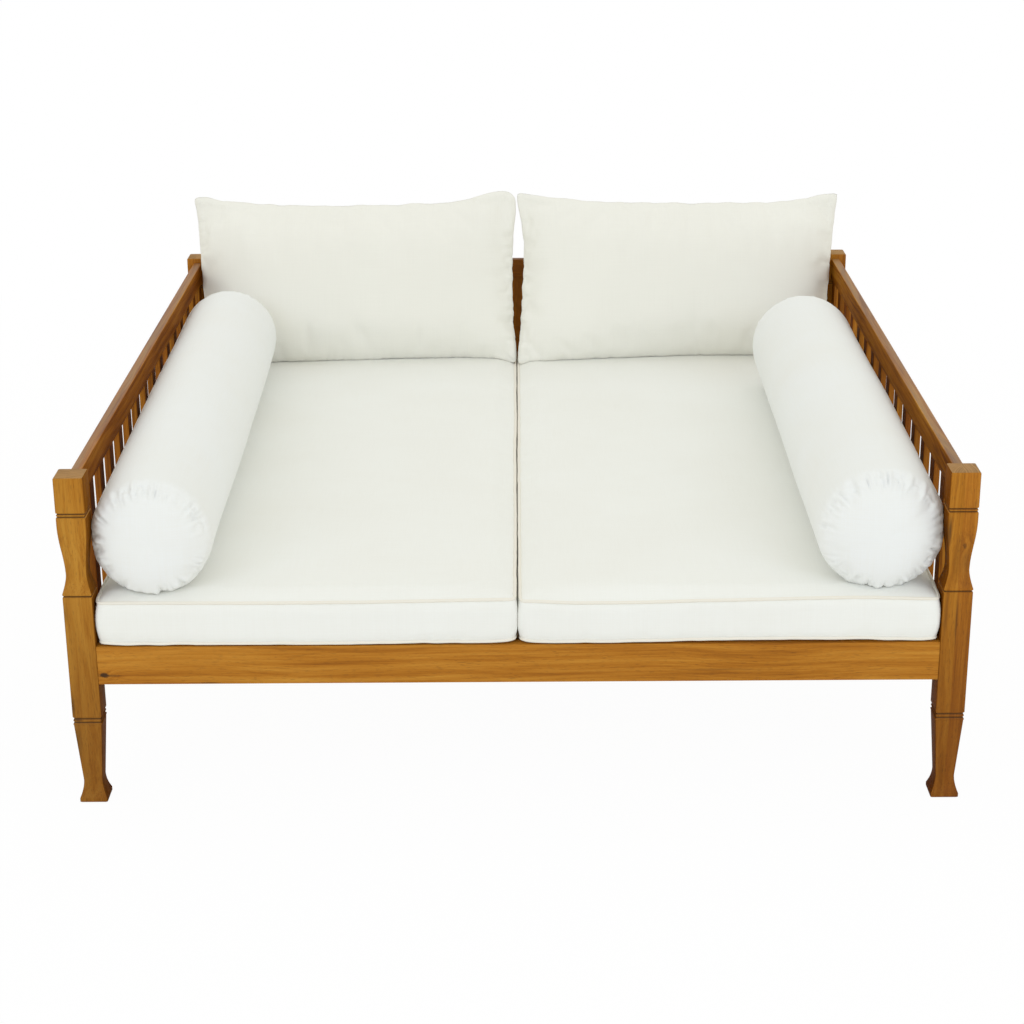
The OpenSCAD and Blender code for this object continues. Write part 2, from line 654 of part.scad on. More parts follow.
// Two triangles to a cell, split towards the middle so that no corner of the cushion is flat
function cell(a, b, c, d, other) = other ? [[a, b, d], [b, c, d]] : [[a, b, c], [a, c, d]];
pillow_faces = [
  for (j = [0:pillow_v - 1], i = [0:pillow_u - 1]) let (other = (i < pillow_u / 2) != (j < pillow_v / 2))
    each concat(
      cell(front_index(i, j), front_index(i, j + 1), front_index(i + 1, j + 1), front_index(i + 1, j), other),
      cell(back_index(i, j), back_index(i + 1, j), back_index(i + 1, j + 1), back_index(i, j + 1), other)
    )
];
module back_cushion(side) color(canvas)
  polyhedron(pillow_points(side), side > 0 ? pillow_faces : turned(pillow_faces));

// Bolster: [distance from its front end, share of its radius] at each ring
function bolster_stations(l) = let (plain = bolster_dome * bolster_end_shares[len(bolster_end_shares) - 1][0])
  concat(
    [for (s = bolster_end_shares) [bolster_dome * s[0], s[1]]],
    [for (i = [1:bolster_rings - 1]) [plain + (l - 2 * plain) * i / bolster_rings, 1]],
    [for (i = [len(bolster_end_shares) - 1:-1:0])
      [l - bolster_dome * bolster_end_shares[i][0], bolster_end_shares[i][1]]]
  );
// How far out a bolster may reach: to the side rail, and at its front end along a line past the post
function bolster_reach(y) = min(
    half_w - rail_face_in,
    half_w - post_w + bolster_swell_share * (y + half_d - post_w)
  ) - rest_gap;
module bolster(side, r, in, skew, l) color(canvas) {
  stations = bolster_stations(l);
  points = [for (s = stations, i = [0:bolster_steps - 1]) let (
      a = 360 * i / bolster_steps,
      y = bolster_front - half_d + s[0],
      x = min(bolster_reach(y), half_w - in + skew * s[0] / l + r * s[1] * sin(a)),
      z = seat_top + r - bolster_sink + r * s[1] * cos(a)
    ) [side * x, y, on_seat(x, y, z)]];
  ends = [for (s = [0, l]) [
    side * (half_w - in + skew * s / l), bolster_front - half_d + s, seat_top + r - bolster_sink
  ]];
  faces = ring_faces(len(stations), bolster_steps);
  polyhedron(concat(points, ends), side > 0 ? faces : turned(faces));
}

module left_bolster() bolster(
  -1, left_bolster_r, left_bolster_in, left_bolster_skew, overall_d - bolster_front - left_bolster_back);
module right_bolster() bolster(
  1, right_bolster_r, right_bolster_in, right_bolster_skew, overall_d - bolster_front - right_bolster_back);

post(-1, -1);  // front_left_post
post(1, -1);  // front_right_post
post(-1, 1);  // rear_left_post
post(1, 1);  // rear_right_post
front_apron();
rear_apron();
side_apron(-1);  // left_apron
side_apron(1);  // right_apron
side_top_rail(-1);  // left_top_rail
side_top_rail(1);  // right_top_rail
back_top_rail();
side_slat_set(-1);  // left_side_slats
side_slat_set(1);  // right_side_slats
back_slat_set();  // back_slats
ledger(-1);  // left_ledger
ledger(1);  // right_ledger
centre_bearer();
centre_leg();
for (i = [1:seat_slats]) seat_slat(i);
bearer_hanger(-1);  // front_bearer_hanger
bearer_hanger(1);  // rear_bearer_hanger
corner_bracket(-1, -1);  // front_left_bracket
corner_bracket(1, -1);  // front_right_bracket
corner_bracket(-1, 1);  // rear_left_bracket
corner_bracket(1, 1);  // rear_right_bracket
hanger_bolts();
hanger_nuts();
centre_leg_bolt();
bracket_screws();
ledger_screws();
slat_screws();
foot_glides();
seat_cushion(-1);  // left_seat_cushion
seat_cushion(1);  // right_seat_cushion
back_cushion(-1);  // left_back_cushion
back_cushion(1);  // right_back_cushion
left_bolster();
right_bolster();
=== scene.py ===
"""Outdoor daybed: the wood, canvas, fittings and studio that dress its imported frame."""
import json
import math

import bmesh
import bpy
import numpy as np
from bpy.props import FloatProperty, FloatVectorProperty, IntProperty, PointerProperty
from mathutils import Euler, Matrix, Vector, noise
from mathutils.bvhtree import BVHTree
from mathutils.kdtree import KDTree

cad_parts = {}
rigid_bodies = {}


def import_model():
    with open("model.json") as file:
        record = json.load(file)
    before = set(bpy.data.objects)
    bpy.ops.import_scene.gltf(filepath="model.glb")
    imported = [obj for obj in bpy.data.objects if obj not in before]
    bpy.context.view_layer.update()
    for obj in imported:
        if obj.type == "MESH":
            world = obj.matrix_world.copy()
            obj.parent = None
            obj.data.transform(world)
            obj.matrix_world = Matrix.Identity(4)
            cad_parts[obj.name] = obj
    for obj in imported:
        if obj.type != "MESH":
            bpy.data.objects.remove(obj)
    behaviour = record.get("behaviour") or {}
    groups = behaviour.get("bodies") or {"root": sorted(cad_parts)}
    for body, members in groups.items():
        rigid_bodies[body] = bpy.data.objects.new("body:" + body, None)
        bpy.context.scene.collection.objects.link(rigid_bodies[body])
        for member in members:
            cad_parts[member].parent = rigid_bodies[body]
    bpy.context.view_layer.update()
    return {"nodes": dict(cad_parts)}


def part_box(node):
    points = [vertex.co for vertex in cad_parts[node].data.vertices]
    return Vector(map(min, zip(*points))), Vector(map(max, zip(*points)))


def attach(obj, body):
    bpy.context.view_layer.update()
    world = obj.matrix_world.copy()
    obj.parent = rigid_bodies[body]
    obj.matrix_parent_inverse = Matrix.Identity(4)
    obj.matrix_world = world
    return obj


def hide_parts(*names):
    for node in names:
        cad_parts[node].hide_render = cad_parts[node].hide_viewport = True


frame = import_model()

bl_info = {
    "name": "Outdoor Daybed",
    "version": (1, 0, 0),
    "blender": (4, 5, 0),
    "location": "3D View > Sidebar > Daybed",
    "description": "Builds the looks of a slatted outdoor daybed round its packed frame",
    "category": "Object",
}

NODES = frame["nodes"]
MM = 0.001
SIDES = {"left": -1, "right": 1}


def node_box(name):
    """Lowest and highest corner of a CAD node, as two arrays."""
    low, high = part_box(name)
    return np.array(low), np.array(high)


POST_LOW, POST_HIGH = node_box("front_left_post")
HALF_W = -POST_LOW[0]
HALF_D = -POST_LOW[1]
POST_W = POST_HIGH[0] - POST_LOW[0]
POST_H = POST_HIGH[2]
RAIL_HIGH = node_box("left_top_rail")[1]
BACK_RAIL_LOW, BACK_RAIL_HIGH = node_box("back_top_rail")
APRON_HIGH = node_box("front_apron")[1]
SEAT_LOW, SEAT_HIGH = node_box("right_seat_cushion")
PILLOW_LOW, PILLOW_HIGH = node_box("right_back_cushion")
RAIL_FACE = -RAIL_HIGH[0]
BACK_FACE = BACK_RAIL_LOW[1]
DECK_Z = APRON_HIGH[2]


# Settings

def length(name, text, value, low=0.0, high=3.0):
    """A property for a length in metres."""
    return FloatProperty(
        name=name, description=text, default=value, min=low, max=high, unit="LENGTH", precision=4)


def share(name, text, value, low=0.0, high=1.0):
    """A property for a plain share."""
    return FloatProperty(name=name, description=text, default=value, min=low, max=high, subtype="FACTOR")


def power(name, text, value):
    """A property for the power of a lamp."""
    return FloatProperty(name=name, description=text, default=value, min=0.0, unit="POWER")


def colour(name, text, value):
    """A property for a colour."""
    return FloatVectorProperty(
        name=name, description=text, default=value, size=3, min=0.0, max=1.0, subtype="COLOR")


class DaybedWood(bpy.types.PropertyGroup):
    light: colour("Light grain", "Pale honey streaks of the oiled wood", (0.560, 0.262, 0.036))
    middle: colour("Middle grain", "Main tone of the oiled wood", (0.405, 0.148, 0.0105))
    dark: colour("Dark grain", "Brown streaks of the oiled wood", (0.185, 0.055, 0.0042))
    # Also the colour of the painted shade line along the bottoms of the posts' grooves
    mark_and_groove_shade: colour("Smudge", "Grey-brown marks and knots", (0.055, 0.026, 0.010))
    end_grain: colour("End grain", "Sawn ends of the posts", (0.46, 0.255, 0.095))
    gloss: share("Roughness", "Roughness of the oil finish", 0.48)
    post_ease: length("Post corners", "Rounding of the corners of the posts", 2.0 * MM)
    apron_ease: length("Apron edges", "Rounding of the edges of the aprons", 1.4 * MM)
    rail_ease: length("Rail edges", "Rounding of the upper edges of the top rails", 4.0 * MM)
    tenon: length("Tenon", "Length of the tenons on aprons and rails", 19.5 * MM)


class DaybedCanvas(bpy.types.PropertyGroup):
    seat_thread: colour("Seat canvas", "Off-white canvas of the seat cushions", (0.880, 0.890, 0.855))
    back_thread: colour("Back canvas", "Creamier canvas of the back cushions", (0.885, 0.880, 0.820))
    bolster_thread: colour("Bolster canvas", "Cooler canvas of the bolsters", (0.857, 0.880, 0.882))
    # Besides the warmer yarns, this colour is a faint painted shade in the hollows of the weave
    shade: colour("Slubs", "Slightly warmer yarns and the hollows of the weave", (0.815, 0.805, 0.745))
    piping: colour("Piping", "The cream piping of the seat cushions", (0.850, 0.805, 0.700))
    yarn: length("Yarn", "Spacing of the yarns of the canvas", 0.9 * MM, 0.0003, 0.01)
    cell: length("Cloth cell", "Spacing of the cloth mesh", 14 * MM, 0.005, 0.05)
    pressure: FloatProperty(
        name="Pressure", description="Pressure of the filling during the cloth run",
        default=4.0, min=0.0, max=20.0)
    frames: IntProperty(name="Frames", description="Frames of the cloth run", default=20, min=2, max=60)
    ease: share("Cloth ease", "How much larger the cloth is cut than the space it fills", 0.028, 0.0, 0.2)
    seat_swell: length("Seat swell", "Most that a seat cushion's cloth may move", 7 * MM)
    pillow_swell: length("Back cushion swell", "Most that a back cushion's cloth may move", 14 * MM)
    bolster_swell: length("Bolster swell", "Most that a bolster's cloth may move", 7 * MM)
    piping_r: length("Piping radius", "Radius of the piping", 3.0 * MM)
    lean: FloatProperty(
        name="Lean", description="Angle of the back cushions from upright",
        default=math.radians(17), subtype="ANGLE")


class DaybedStudio(bpy.types.PropertyGroup):
    floor: colour("Floor", "Colour of the floor near the daybed", (0.93, 0.93, 0.93))
    key: power("Front lights", "Power of each of the two front softboxes", 41.0)
    top: power("Rear light", "Power of the softbox above the rear", 16.0)
    fill: share("Fill", "Strength of the surrounding light", 0.85, 0.0, 3.0)


GROUPS = {"daybed_wood": DaybedWood, "daybed_canvas": DaybedCanvas, "daybed_studio": DaybedStudio}


# Material graphs

class Graph:
    """The nodes of a material or a world, and short calls that add to them."""

    def __init__(self, owner):
        owner.use_nodes = True
        self.owner = owner
        self.tree = owner.node_tree
        self.tree.nodes.clear()

    def node(self, kind, inputs=None, **settings):
        made = self.tree.nodes.new(kind)
        for key, value in settings.items():
            setattr(made, key, value)
        for key, value in (inputs or {}).items():
            self.feed(made.inputs[key], value)
        return made

    def feed(self, socket, value):
        """Links a socket, or sets its own value."""
        if isinstance(value, bpy.types.NodeSocket):
            self.tree.links.new(value, socket)
        elif socket.type == "RGBA":
            socket.default_value = (*tuple(value)[:3], 1.0)
        else:
            socket.default_value = value

    def math(self, operation, *values, clamp=False):
        made = self.node("ShaderNodeMath", dict(enumerate(values)), operation=operation, use_clamp=clamp)
        return made.outputs[0]

    def add(self, *values, clamp=False):
        return self.math("ADD", *values, clamp=clamp)

    def sum(self, *values):
        total = values[0]
        for value in values[1:]:
            total = self.add(total, value)
        return total

    def sub(self, *values):
        return self.math("SUBTRACT", *values)

    def mul(self, *values):
        return self.math("MULTIPLY", *values)

    def coords(self, kind="Object"):
        return self.node("ShaderNodeTexCoord").outputs[kind]

    def split(self, vector):
        """The X, Y and Z of a vector."""
        return self.node("ShaderNodeSeparateXYZ", {0: vector}).outputs

    def join(self, x=0.0, y=0.0, z=0.0):
        return self.node("ShaderNodeCombineXYZ", {0: x, 1: y, 2: z}).outputs[0]

    def vector(self, operation, *values):
        made = self.node("ShaderNodeVectorMath", dict(enumerate(values)), operation=operation)
        return made.outputs["Value" if operation in ("LENGTH", "DISTANCE", "DOT_PRODUCT") else "Vector"]

    def mix(self, factor, first, second, blend="MIX"):
        made = self.node("ShaderNodeMix", data_type="RGBA", blend_type=blend, clamp_factor=True)
        for socket, value in ((made.inputs[0], factor), (made.inputs[6], first), (made.inputs[7], second)):
            self.feed(socket, value)
        return made.outputs[2]

    def smooth(self, value, start, end):
        """0 below start, 1 above end, with an eased run between; falls if end is below start."""
        made = self.node("ShaderNodeMapRange", {
            "Value": value, "From Min": min(start, end), "From Max": max(start, end),
            "To Min": float(start > end), "To Max": float(start < end)},
            interpolation_type="SMOOTHSTEP", clamp=True)
        return made.outputs["Result"]

    def noise(self, vector, scale=1.0, detail=2.0, roughness=0.5):
        made = self.node("ShaderNodeTexNoise", {
            "Vector": vector, "Scale": scale, "Detail": detail, "Roughness": roughness})
        return made.outputs["Fac"]

    def finish(self, shader):
        kind = "Material" if isinstance(self.owner, bpy.types.Material) else "World"
        self.node(f"ShaderNodeOutput{kind}", {"Surface": shader})
        return self.owner

    def surface(self, tint, rough, height, strength, depth, gloss=None):
        """Ends a material in a principled shader with a bump; gloss gives its other inputs."""
        bump = self.node("ShaderNodeBump", {"Height": height, "Strength": strength, "Distance": depth})
        shader = self.node("ShaderNodeBsdfPrincipled", {
            "Base Color": tint, "Roughness": rough, "Normal": bump.outputs[0], **(gloss or {})})
        return self.finish(shader.outputs[0])


TO_GRAIN = {
    "X": Euler((0, 0, 0)),
    "Y": Euler((0, 0, -math.pi / 2)),
    "Z": Euler((0, math.pi / 2, 0)),
}
# Most that a board's pattern is shifted along and across the grain, so that no two boards are alike
BOARD_SHIFT = (7.0, 3.0, 3.0)
# Where the growth rings have their heart, across the grain; the board's shift adds to it
HEART = (0.09, 0.05)
# What painted_foot_shade, painted_side_shade and weathered do to the wood: two tints to multiply by, for the
# painted shade at the foot and on the faces that look along X, and a colour, for the painted sheen on the
# faces that look up
FOOT_SHADE_TINT = (0.36, 0.26, 0.2)
SIDE_SHADE_TINT = (0.3, 0.18, 0.06)
TOP_SHEEN_TINT = (0.19, 0.165, 0.13)
# Refraction of the oil, and on the faces that look along X where painted_side_shade is given
OIL_IOR = 1.45
SIDE_IOR = 1.09


def wood_material(name, along, seed, centre=(0, 0, 0), row=None, staves=(), tone=0.0, contrast=1.0,
                  smudges=(), knots=(), arcs=0.5, painted_side_shade=0.0, painted_foot_shade=0.0, painted_top_sheen=0.0,
                  groove_shade_heights=()):
    """Oiled hardwood whose grain runs along an axis.

    row is (grain axis number, pitch) where one mesh holds many boards. staves are the places across a
    glued-up post where a stave ends, each with the change of tone from there on. smudges are (place,
    size, strength), and knots are (place, size, strength, how pale the eye is). arcs is how far the
    rings wander into arcs. painted_side_shade darkens the faces that look along X with a painted shade, and
    painted_foot_shade darkens the lower end with a painted shade that fades upwards. weathered greys the
    faces that look up with a painted sheen. scribed holds the heights of fine grooves, along whose bottoms a
    thin painted shade line is drawn.
    """
    wood = bpy.context.scene.daybed_wood
    g = Graph(bpy.data.materials.new(name))
    turn = TO_GRAIN[along].to_matrix()
    place = -(turn @ Vector(centre))
    coords = g.coords()
    turned = g.node("ShaderNodeMapping", {
        "Vector": coords, "Location": place, "Rotation": tuple(TO_GRAIN[along])},
        vector_type="POINT").outputs[0]
    axes = g.split(turned)
    world_axes = g.split(coords)
    facing = g.node("ShaderNodeNewGeometry").outputs["Normal"]

    def layer(vector, lengthwise, across, detail=2.0, roughness=0.5):
        """Noise with so many features in a metre of the grain, and in a metre across it."""
        drawn_out = g.vector("MULTIPLY", vector, (lengthwise, across, across))
        return g.noise(drawn_out, detail=detail, roughness=roughness)

    def away_from(spot):
        return g.vector("SUBTRACT", turned, tuple(turn @ Vector(spot) + place))

    board = seed * 1.37
    if row:
        board = g.add(board, g.math("FLOOR", g.math("DIVIDE", axes[row[0]], row[1])))
    stave_tone = 0.0
    for cut, change in staves:
        beyond = g.math("GREATER_THAN", world_axes[0], centre[0] + cut)
        board = g.add(board, beyond)
        stave_tone = g.add(stave_tone, g.mul(beyond, change))
    chance = g.node("ShaderNodeTexWhiteNoise", {"W": board}, noise_dimensions="1D")
    lot = g.split(chance.outputs["Color"])
    shift = g.vector("MULTIPLY", chance.outputs["Color"], BOARD_SHIFT)
    grain = g.vector("ADD", turned, shift)

    # The grain wanders a little, and swells round each knot
    sway = g.mul(g.sub(layer(grain, 1.6, 7.0), 0.5), 0.034)
    knot_mask = None
    for spot, size, strength, eye in knots:
        squeezed = g.vector("MULTIPLY", away_from(spot), (0.55, 1.0, 1.0))
        reach = g.vector("LENGTH", squeezed)
        falling = g.math("POWER", g.math("DIVIDE", reach, size * 2.2), 2.0)
        near = g.math("EXPONENT", g.mul(falling, -1.0))
        sway = g.add(sway, g.mul(near, size * 1.3))
        ragged = g.mul(g.sub(g.noise(grain, 160.0), 0.5), size)
        spread = g.add(reach, ragged)
        hollow = g.mul(g.smooth(spread, size * 0.75, size * 0.3), -eye)
        mask = g.mul(g.smooth(spread, size * 1.15, size * 0.6), g.add(hollow, 1.0))
        mask = g.mul(mask, strength)
        knot_mask = mask if knot_mask is None else g.math("MAXIMUM", knot_mask, mask)
    swayed = g.vector("ADD", grain, g.join(0.0, sway, sway))

    # Growth rings round a heart some way off the board, cut by its faces into long shallow arcs
    parts = g.split(swayed)
    heart = g.join(0.0, g.add(parts[1], HEART[0]), g.add(parts[2], HEART[1]))
    drift = g.noise(g.join(g.mul(parts[0], 1.7)), detail=1.0)
    ring = g.add(g.vector("LENGTH", heart), g.mul(drift, 0.11 * arcs))
    rings = g.noise(g.join(g.mul(ring, 150.0), g.mul(parts[0], 2.4)), detail=3.0, roughness=0.6)
    streaks = layer(swayed, 2.6, 95.0, detail=4.0, roughness=0.62)
    lines = layer(swayed, 9.0, 520.0, roughness=0.6)
    clouds = layer(grain, 3.4, 16.0)
    fibre = layer(swayed, 42.0, 1500.0, detail=1.0)
    pores = g.smooth(layer(swayed, 75.0, 1150.0, detail=0.0), 0.64, 0.76)
    veins = g.smooth(layer(swayed, 1.9, 210.0), 0.60, 0.72)

    board_tone = g.mul(g.sub(lot[1], 0.5), 0.12)
    figure = g.sum(
        g.mul(rings, 0.72), g.mul(streaks, 0.72), g.mul(lines, 0.34), g.mul(clouds, 0.42),
        board_tone, stave_tone)
    figure = g.sub(figure, 1.10 - tone)
    figure = g.sub(figure, g.mul(veins, 0.10))
    value = g.add(g.mul(figure, 2.1 * contrast), 0.5, clamp=True)
    ramp = g.node("ShaderNodeValToRGB", {"Fac": value})
    ramp.color_ramp.interpolation = "B_SPLINE"
    stops = ramp.color_ramp.elements
    middle, light, dark = tuple(wood.middle), tuple(wood.light), tuple(wood.dark)
    stops[0].position, stops[0].color = 0.0, (*dark, 1)
    stops[1].position, stops[1].color = 1.0, (*light, 1)
    for spot, tint in ((0.28, [0.4 * d + 0.6 * m for d, m in zip(dark, middle)]), (0.55, middle)):
        stops.new(spot).color = (*tint, 1)
    hue = g.node("ShaderNodeHueSaturation", {
        "Hue": g.add(0.4965, g.mul(lot[0], 0.007)), "Saturation": 1.0,
        "Value": g.add(0.93, g.mul(lot[2], 0.14)), "Color": ramp.outputs["Color"]})

    # Pores, marks, and the painted shade and painted sheen of whole faces and grooves
    tint = g.mix(g.mul(pores, 0.3), hue.outputs[0], wood.mark_and_groove_shade)
    for spot, size, strength in smudges:
        size = turn @ Vector(size)
        reach = g.vector("LENGTH", g.vector("DIVIDE", away_from(spot), tuple(abs(s) for s in size)))
        ragged = g.add(reach, g.mul(g.sub(streaks, 0.5), 1.6))
        tint = g.mix(g.mul(g.smooth(ragged, 1.15, 0.1), strength), tint, wood.mark_and_groove_shade)
    if knot_mask is not None:
        tint = g.mix(knot_mask, tint, wood.mark_and_groove_shade)
    if painted_foot_shade:
        # Painted shade: the wood darkens towards the foot, fading out upwards
        low = g.mul(g.smooth(world_axes[2], POST_H, 0.0), painted_foot_shade)
        tint = g.mix(low, tint, FOOT_SHADE_TINT, blend="MULTIPLY")
    ior = OIL_IOR
    if painted_side_shade:
        # Painted shade on the faces that look along X
        sideways = g.smooth(g.math("ABSOLUTE", g.split(facing)[0]), 0.6, 0.85)
        tint = g.mix(g.mul(sideways, painted_side_shade), tint, SIDE_SHADE_TINT, blend="MULTIPLY")
        ior = g.sub(OIL_IOR, g.mul(sideways, OIL_IOR - SIDE_IOR))
    if painted_top_sheen:
        # Painted sheen: a pale grey tint along the grain on the faces that look up, for the gleam of light
        # on top
        upward = g.smooth(g.split(facing)[2], 0.8, 0.97)
        top_sheen = g.mul(g.add(g.smooth(streaks, 0.35, 0.65), 0.6), painted_top_sheen)
        tint = g.mix(g.mul(upward, top_sheen), tint, TOP_SHEEN_TINT)
    # Painted shade: a thin dark line along the bottom of each groove
    for height in groove_shade_heights:
        near = g.math("ABSOLUTE", g.sub(world_axes[2], height))
        tint = g.mix(g.mul(g.smooth(near, 1.9 * MM, 0.6 * MM), 0.8), tint, wood.mark_and_groove_shade)

    # Sawn ends show the rings themselves, greyer and duller than the faces
    lengthwise = tuple(turn.inverted() @ Vector((1, 0, 0)))
    end = g.math("ABSOLUTE", g.vector("DOT_PRODUCT", facing, lengthwise))
    end = g.smooth(end, 0.8, 0.95)
    end_rings = g.noise(g.join(g.mul(g.vector("LENGTH", heart), 330.0)))
    grey = g.mul(g.smooth(g.add(end_rings, g.mul(clouds, 0.5)), 0.5, 0.95), 0.85)
    sawn = g.mix(grey, wood.end_grain, tuple(0.5 * c for c in wood.end_grain))
    tint = g.mix(end, tint, sawn)

    rough = g.sum(wood.gloss - 0.08, g.mul(streaks, 0.18), g.mul(end, 0.25))
    relief = g.add(g.mul(lines, 0.55), g.mul(fibre, 0.45))
    relief = g.sub(relief, g.mul(pores, 0.5))
    return g.surface(tint, rough, relief, 0.35, 0.5 * MM, {"Specular IOR Level": 0.15, "IOR": ior})


def canvas_material(name, thread, shade, uv=True):
    """Plain-woven canvas. Its yarns follow the cut of the cloth where the piece has a map in metres."""
    canvas = bpy.context.scene.daybed_canvas
    g = Graph(bpy.data.materials.new(name))
    flat = g.coords("UV" if uv else "Object")
    axes = g.split(flat)
    turn = 2 * math.pi / canvas.yarn
    weft = g.math("SINE", g.mul(axes[0], turn))
    warp = g.math("SINE", g.mul(axes[1], turn))
    over = g.mul(weft, warp)
    slub_length, slub_spacing = 11.0, 0.6 / canvas.yarn
    slub_u = g.noise(g.vector("MULTIPLY", flat, (slub_spacing, slub_length, 1.0)), detail=1.0)
    slub_v = g.noise(g.vector("MULTIPLY", flat, (slub_length, slub_spacing, 1.0)), detail=1.0)
    slubs = g.add(slub_u, slub_v)
    uneven = g.sub(slubs, 1.0)
    clouds = g.noise(g.coords(), 4.5, detail=3.0)
    # The weave's crossings (over) paint a faint shade into the hollows between the yarns; the slubs and
    # clouds vary the cloth's own tone
    factor = g.add(g.mul(uneven, 0.35), g.mul(over, 0.08))
    factor = g.add(factor, g.mul(clouds, 0.6), clamp=True)
    height = g.add(g.mul(over, 0.5), g.mul(slubs, 0.6))
    rough = g.add(0.88, g.mul(uneven, 0.08))
    return g.surface(g.mix(factor, thread, shade), rough, height, 0.16, 0.3 * MM, {
        "Specular IOR Level": 0.22, "Sheen Weight": 0.08, "Sheen Roughness": 0.5})


def steel_material(name, tint, rough):
    """Zinc-plated steel with faint spangle and brushed wear."""
    g = Graph(bpy.data.materials.new(name))
    place = g.coords()
    spangle = g.node("ShaderNodeTexVoronoi", {"Vector": place, "Scale": 240.0}).outputs["Distance"]
    wear = g.noise(place, 90.0, detail=4.0)
    shade = g.mix(g.smooth(wear, 0.45, 0.75), tint, tuple(0.72 * c for c in tint))
    gloss = g.add(rough, g.mul(g.add(spangle, wear), 0.14))
    return g.surface(shade, gloss, wear, 0.15, 0.3 * MM, {"Metallic": 0.95})


def nylon_material(name):
    """Dark moulded nylon, scuffed where it slides."""
    g = Graph(bpy.data.materials.new(name))
    scuff = g.noise(g.coords(), 260.0, detail=3.0)
    tint = g.mix(g.smooth(scuff, 0.5, 0.7), (0.035, 0.034, 0.033), (0.085, 0.083, 0.08))
    return g.surface(tint, 0.62, scuff, 0.2, 0.2 * MM)


# Modelling by hand

def nothing_selected():
    """Deselects everything, because an operator acts on all that is selected."""
    for other in bpy.context.view_layer.objects:
        other.select_set(False)


def chosen(piece):
    """Makes a piece the one selected and active object."""
    nothing_selected()
    piece.select_set(True)
    bpy.context.view_layer.objects.active = piece


def new_block(name, centre, size):
    """A box primitive at its size and place, with that place applied to its mesh."""
    nothing_selected()
    bpy.ops.mesh.primitive_cube_add(size=1.0, location=tuple(centre))
    piece = bpy.context.object
    piece.name = piece.data.name = name
    piece.scale = tuple(size)
    bpy.ops.object.transform_apply(location=True, rotation=True, scale=True)
    return piece


def pick(piece, edges=None, faces=None):
    """Selects, in edit mode, the edges or faces that a test accepts."""
    mesh = bmesh.from_edit_mesh(piece.data)
    bpy.context.tool_settings.mesh_select_mode = (False, edges is not None, faces is not None)
    for group in (mesh.verts, mesh.edges, mesh.faces):
        for element in group:
            element.select = False
    found = 0
    if edges:
        for edge in mesh.edges:
            if edges(edge.verts[0].co, edge.verts[1].co):
                edge.select_set(True)
                found += 1
    if faces:
        for face in mesh.faces:
            if faces(face.calc_center_median(), face.normal):
                face.select_set(True)
                found += 1
    if not found:
        raise RuntimeError(f"{piece.name}: nothing to select")
    bmesh.update_edit_mesh(piece.data)


# Nearer than this counts as the same place
TOUCH = 0.01 * MM
# Clearance at the end of a tenon, and how far its faces stand in from the board's
FIT_GAP = 0.2 * MM
TENON_SHOULDER = 5 * MM


def joined_board(node, along, top_ease):
    """A board for a CAD node between two posts, with eased edges and a tenon at each end."""
    wood = bpy.context.scene.daybed_wood
    axis = "XYZ".index(along)
    low, high = node_box(node)
    low[axis] += wood.tenon
    high[axis] -= wood.tenon
    piece = new_block(f"{node}_board", (low + high) / 2, high - low)
    bpy.ops.object.mode_set(mode="EDIT")
    for height, ease in ((high[2], top_ease), (low[2], wood.apron_ease)):
        pick(piece, edges=lambda a, b: abs(a[axis] - b[axis]) > wood.tenon
             and max(abs(a[2] - height), abs(b[2] - height)) < TOUCH)
        bpy.ops.mesh.bevel(offset=ease, segments=4, affect="EDGES")
    for end, way in ((low[axis], -1), (high[axis], 1)):
        pick(piece, faces=lambda middle, normal: normal[axis] * way > 0.9
             and abs(middle[axis] - end) < TOUCH)
        bpy.ops.mesh.inset(thickness=TENON_SHOULDER)
        step = [0.0, 0.0, 0.0]
        step[axis] = way * (wood.tenon - FIT_GAP)
        bpy.ops.mesh.extrude_region_move(TRANSFORM_OT_translate={"value": step})
    bpy.ops.object.mode_set(mode="OBJECT")
    bpy.ops.object.shade_smooth_by_angle(angle=math.radians(32))
    return piece


# The post's outline, in millimetres: how far it stands in from the square, and heights over the floor
LEG_IN, ANKLE_IN, WAIST_IN = 0.8, 8.7, 7.4
SOLE = ((2.0, 2.0), (0.8, 3.2), (0.8, 9.0))
FOOT_TOP, FOOT_FLARE = 42, 33
LEG_TOP = 153.0
SINGLE_GROOVE = ((0.0, 389.4), (1.7, 391.0), (2.2, 391.9), (1.7, 392.8), (0.0, 394.4), (0.0, 396.0))
WAIST, WAIST_BELOW, WAIST_ABOVE = 428, 32, 92
CAP = ((0.0, 602.0), (0.3, 603.3), (1.1, 604.4), (2.6, 605.0))
# The two double grooves, as (top, height), and their section as (share down, depth)
DOUBLE_GROOVES = {"leg": (167.0, 14.0), "cap": (543.0, 10.0)}
GROOVE_SECTION = (
    (0.0, 0.0), (0.17, 1.9), (0.25, 2.2), (0.33, 1.9), (0.42, 0.9), (0.46, 0.72), (0.54, 0.72),
    (0.58, 0.9), (0.67, 1.9), (0.75, 2.2), (0.83, 1.9), (1.0, 0.0))
GROOVE_BOTTOMS = [SINGLE_GROOVE[2][1] * MM] + [
    (top - share_down * tall) * MM for top, tall in DOUBLE_GROOVES.values() for share_down in (0.25, 0.75)]


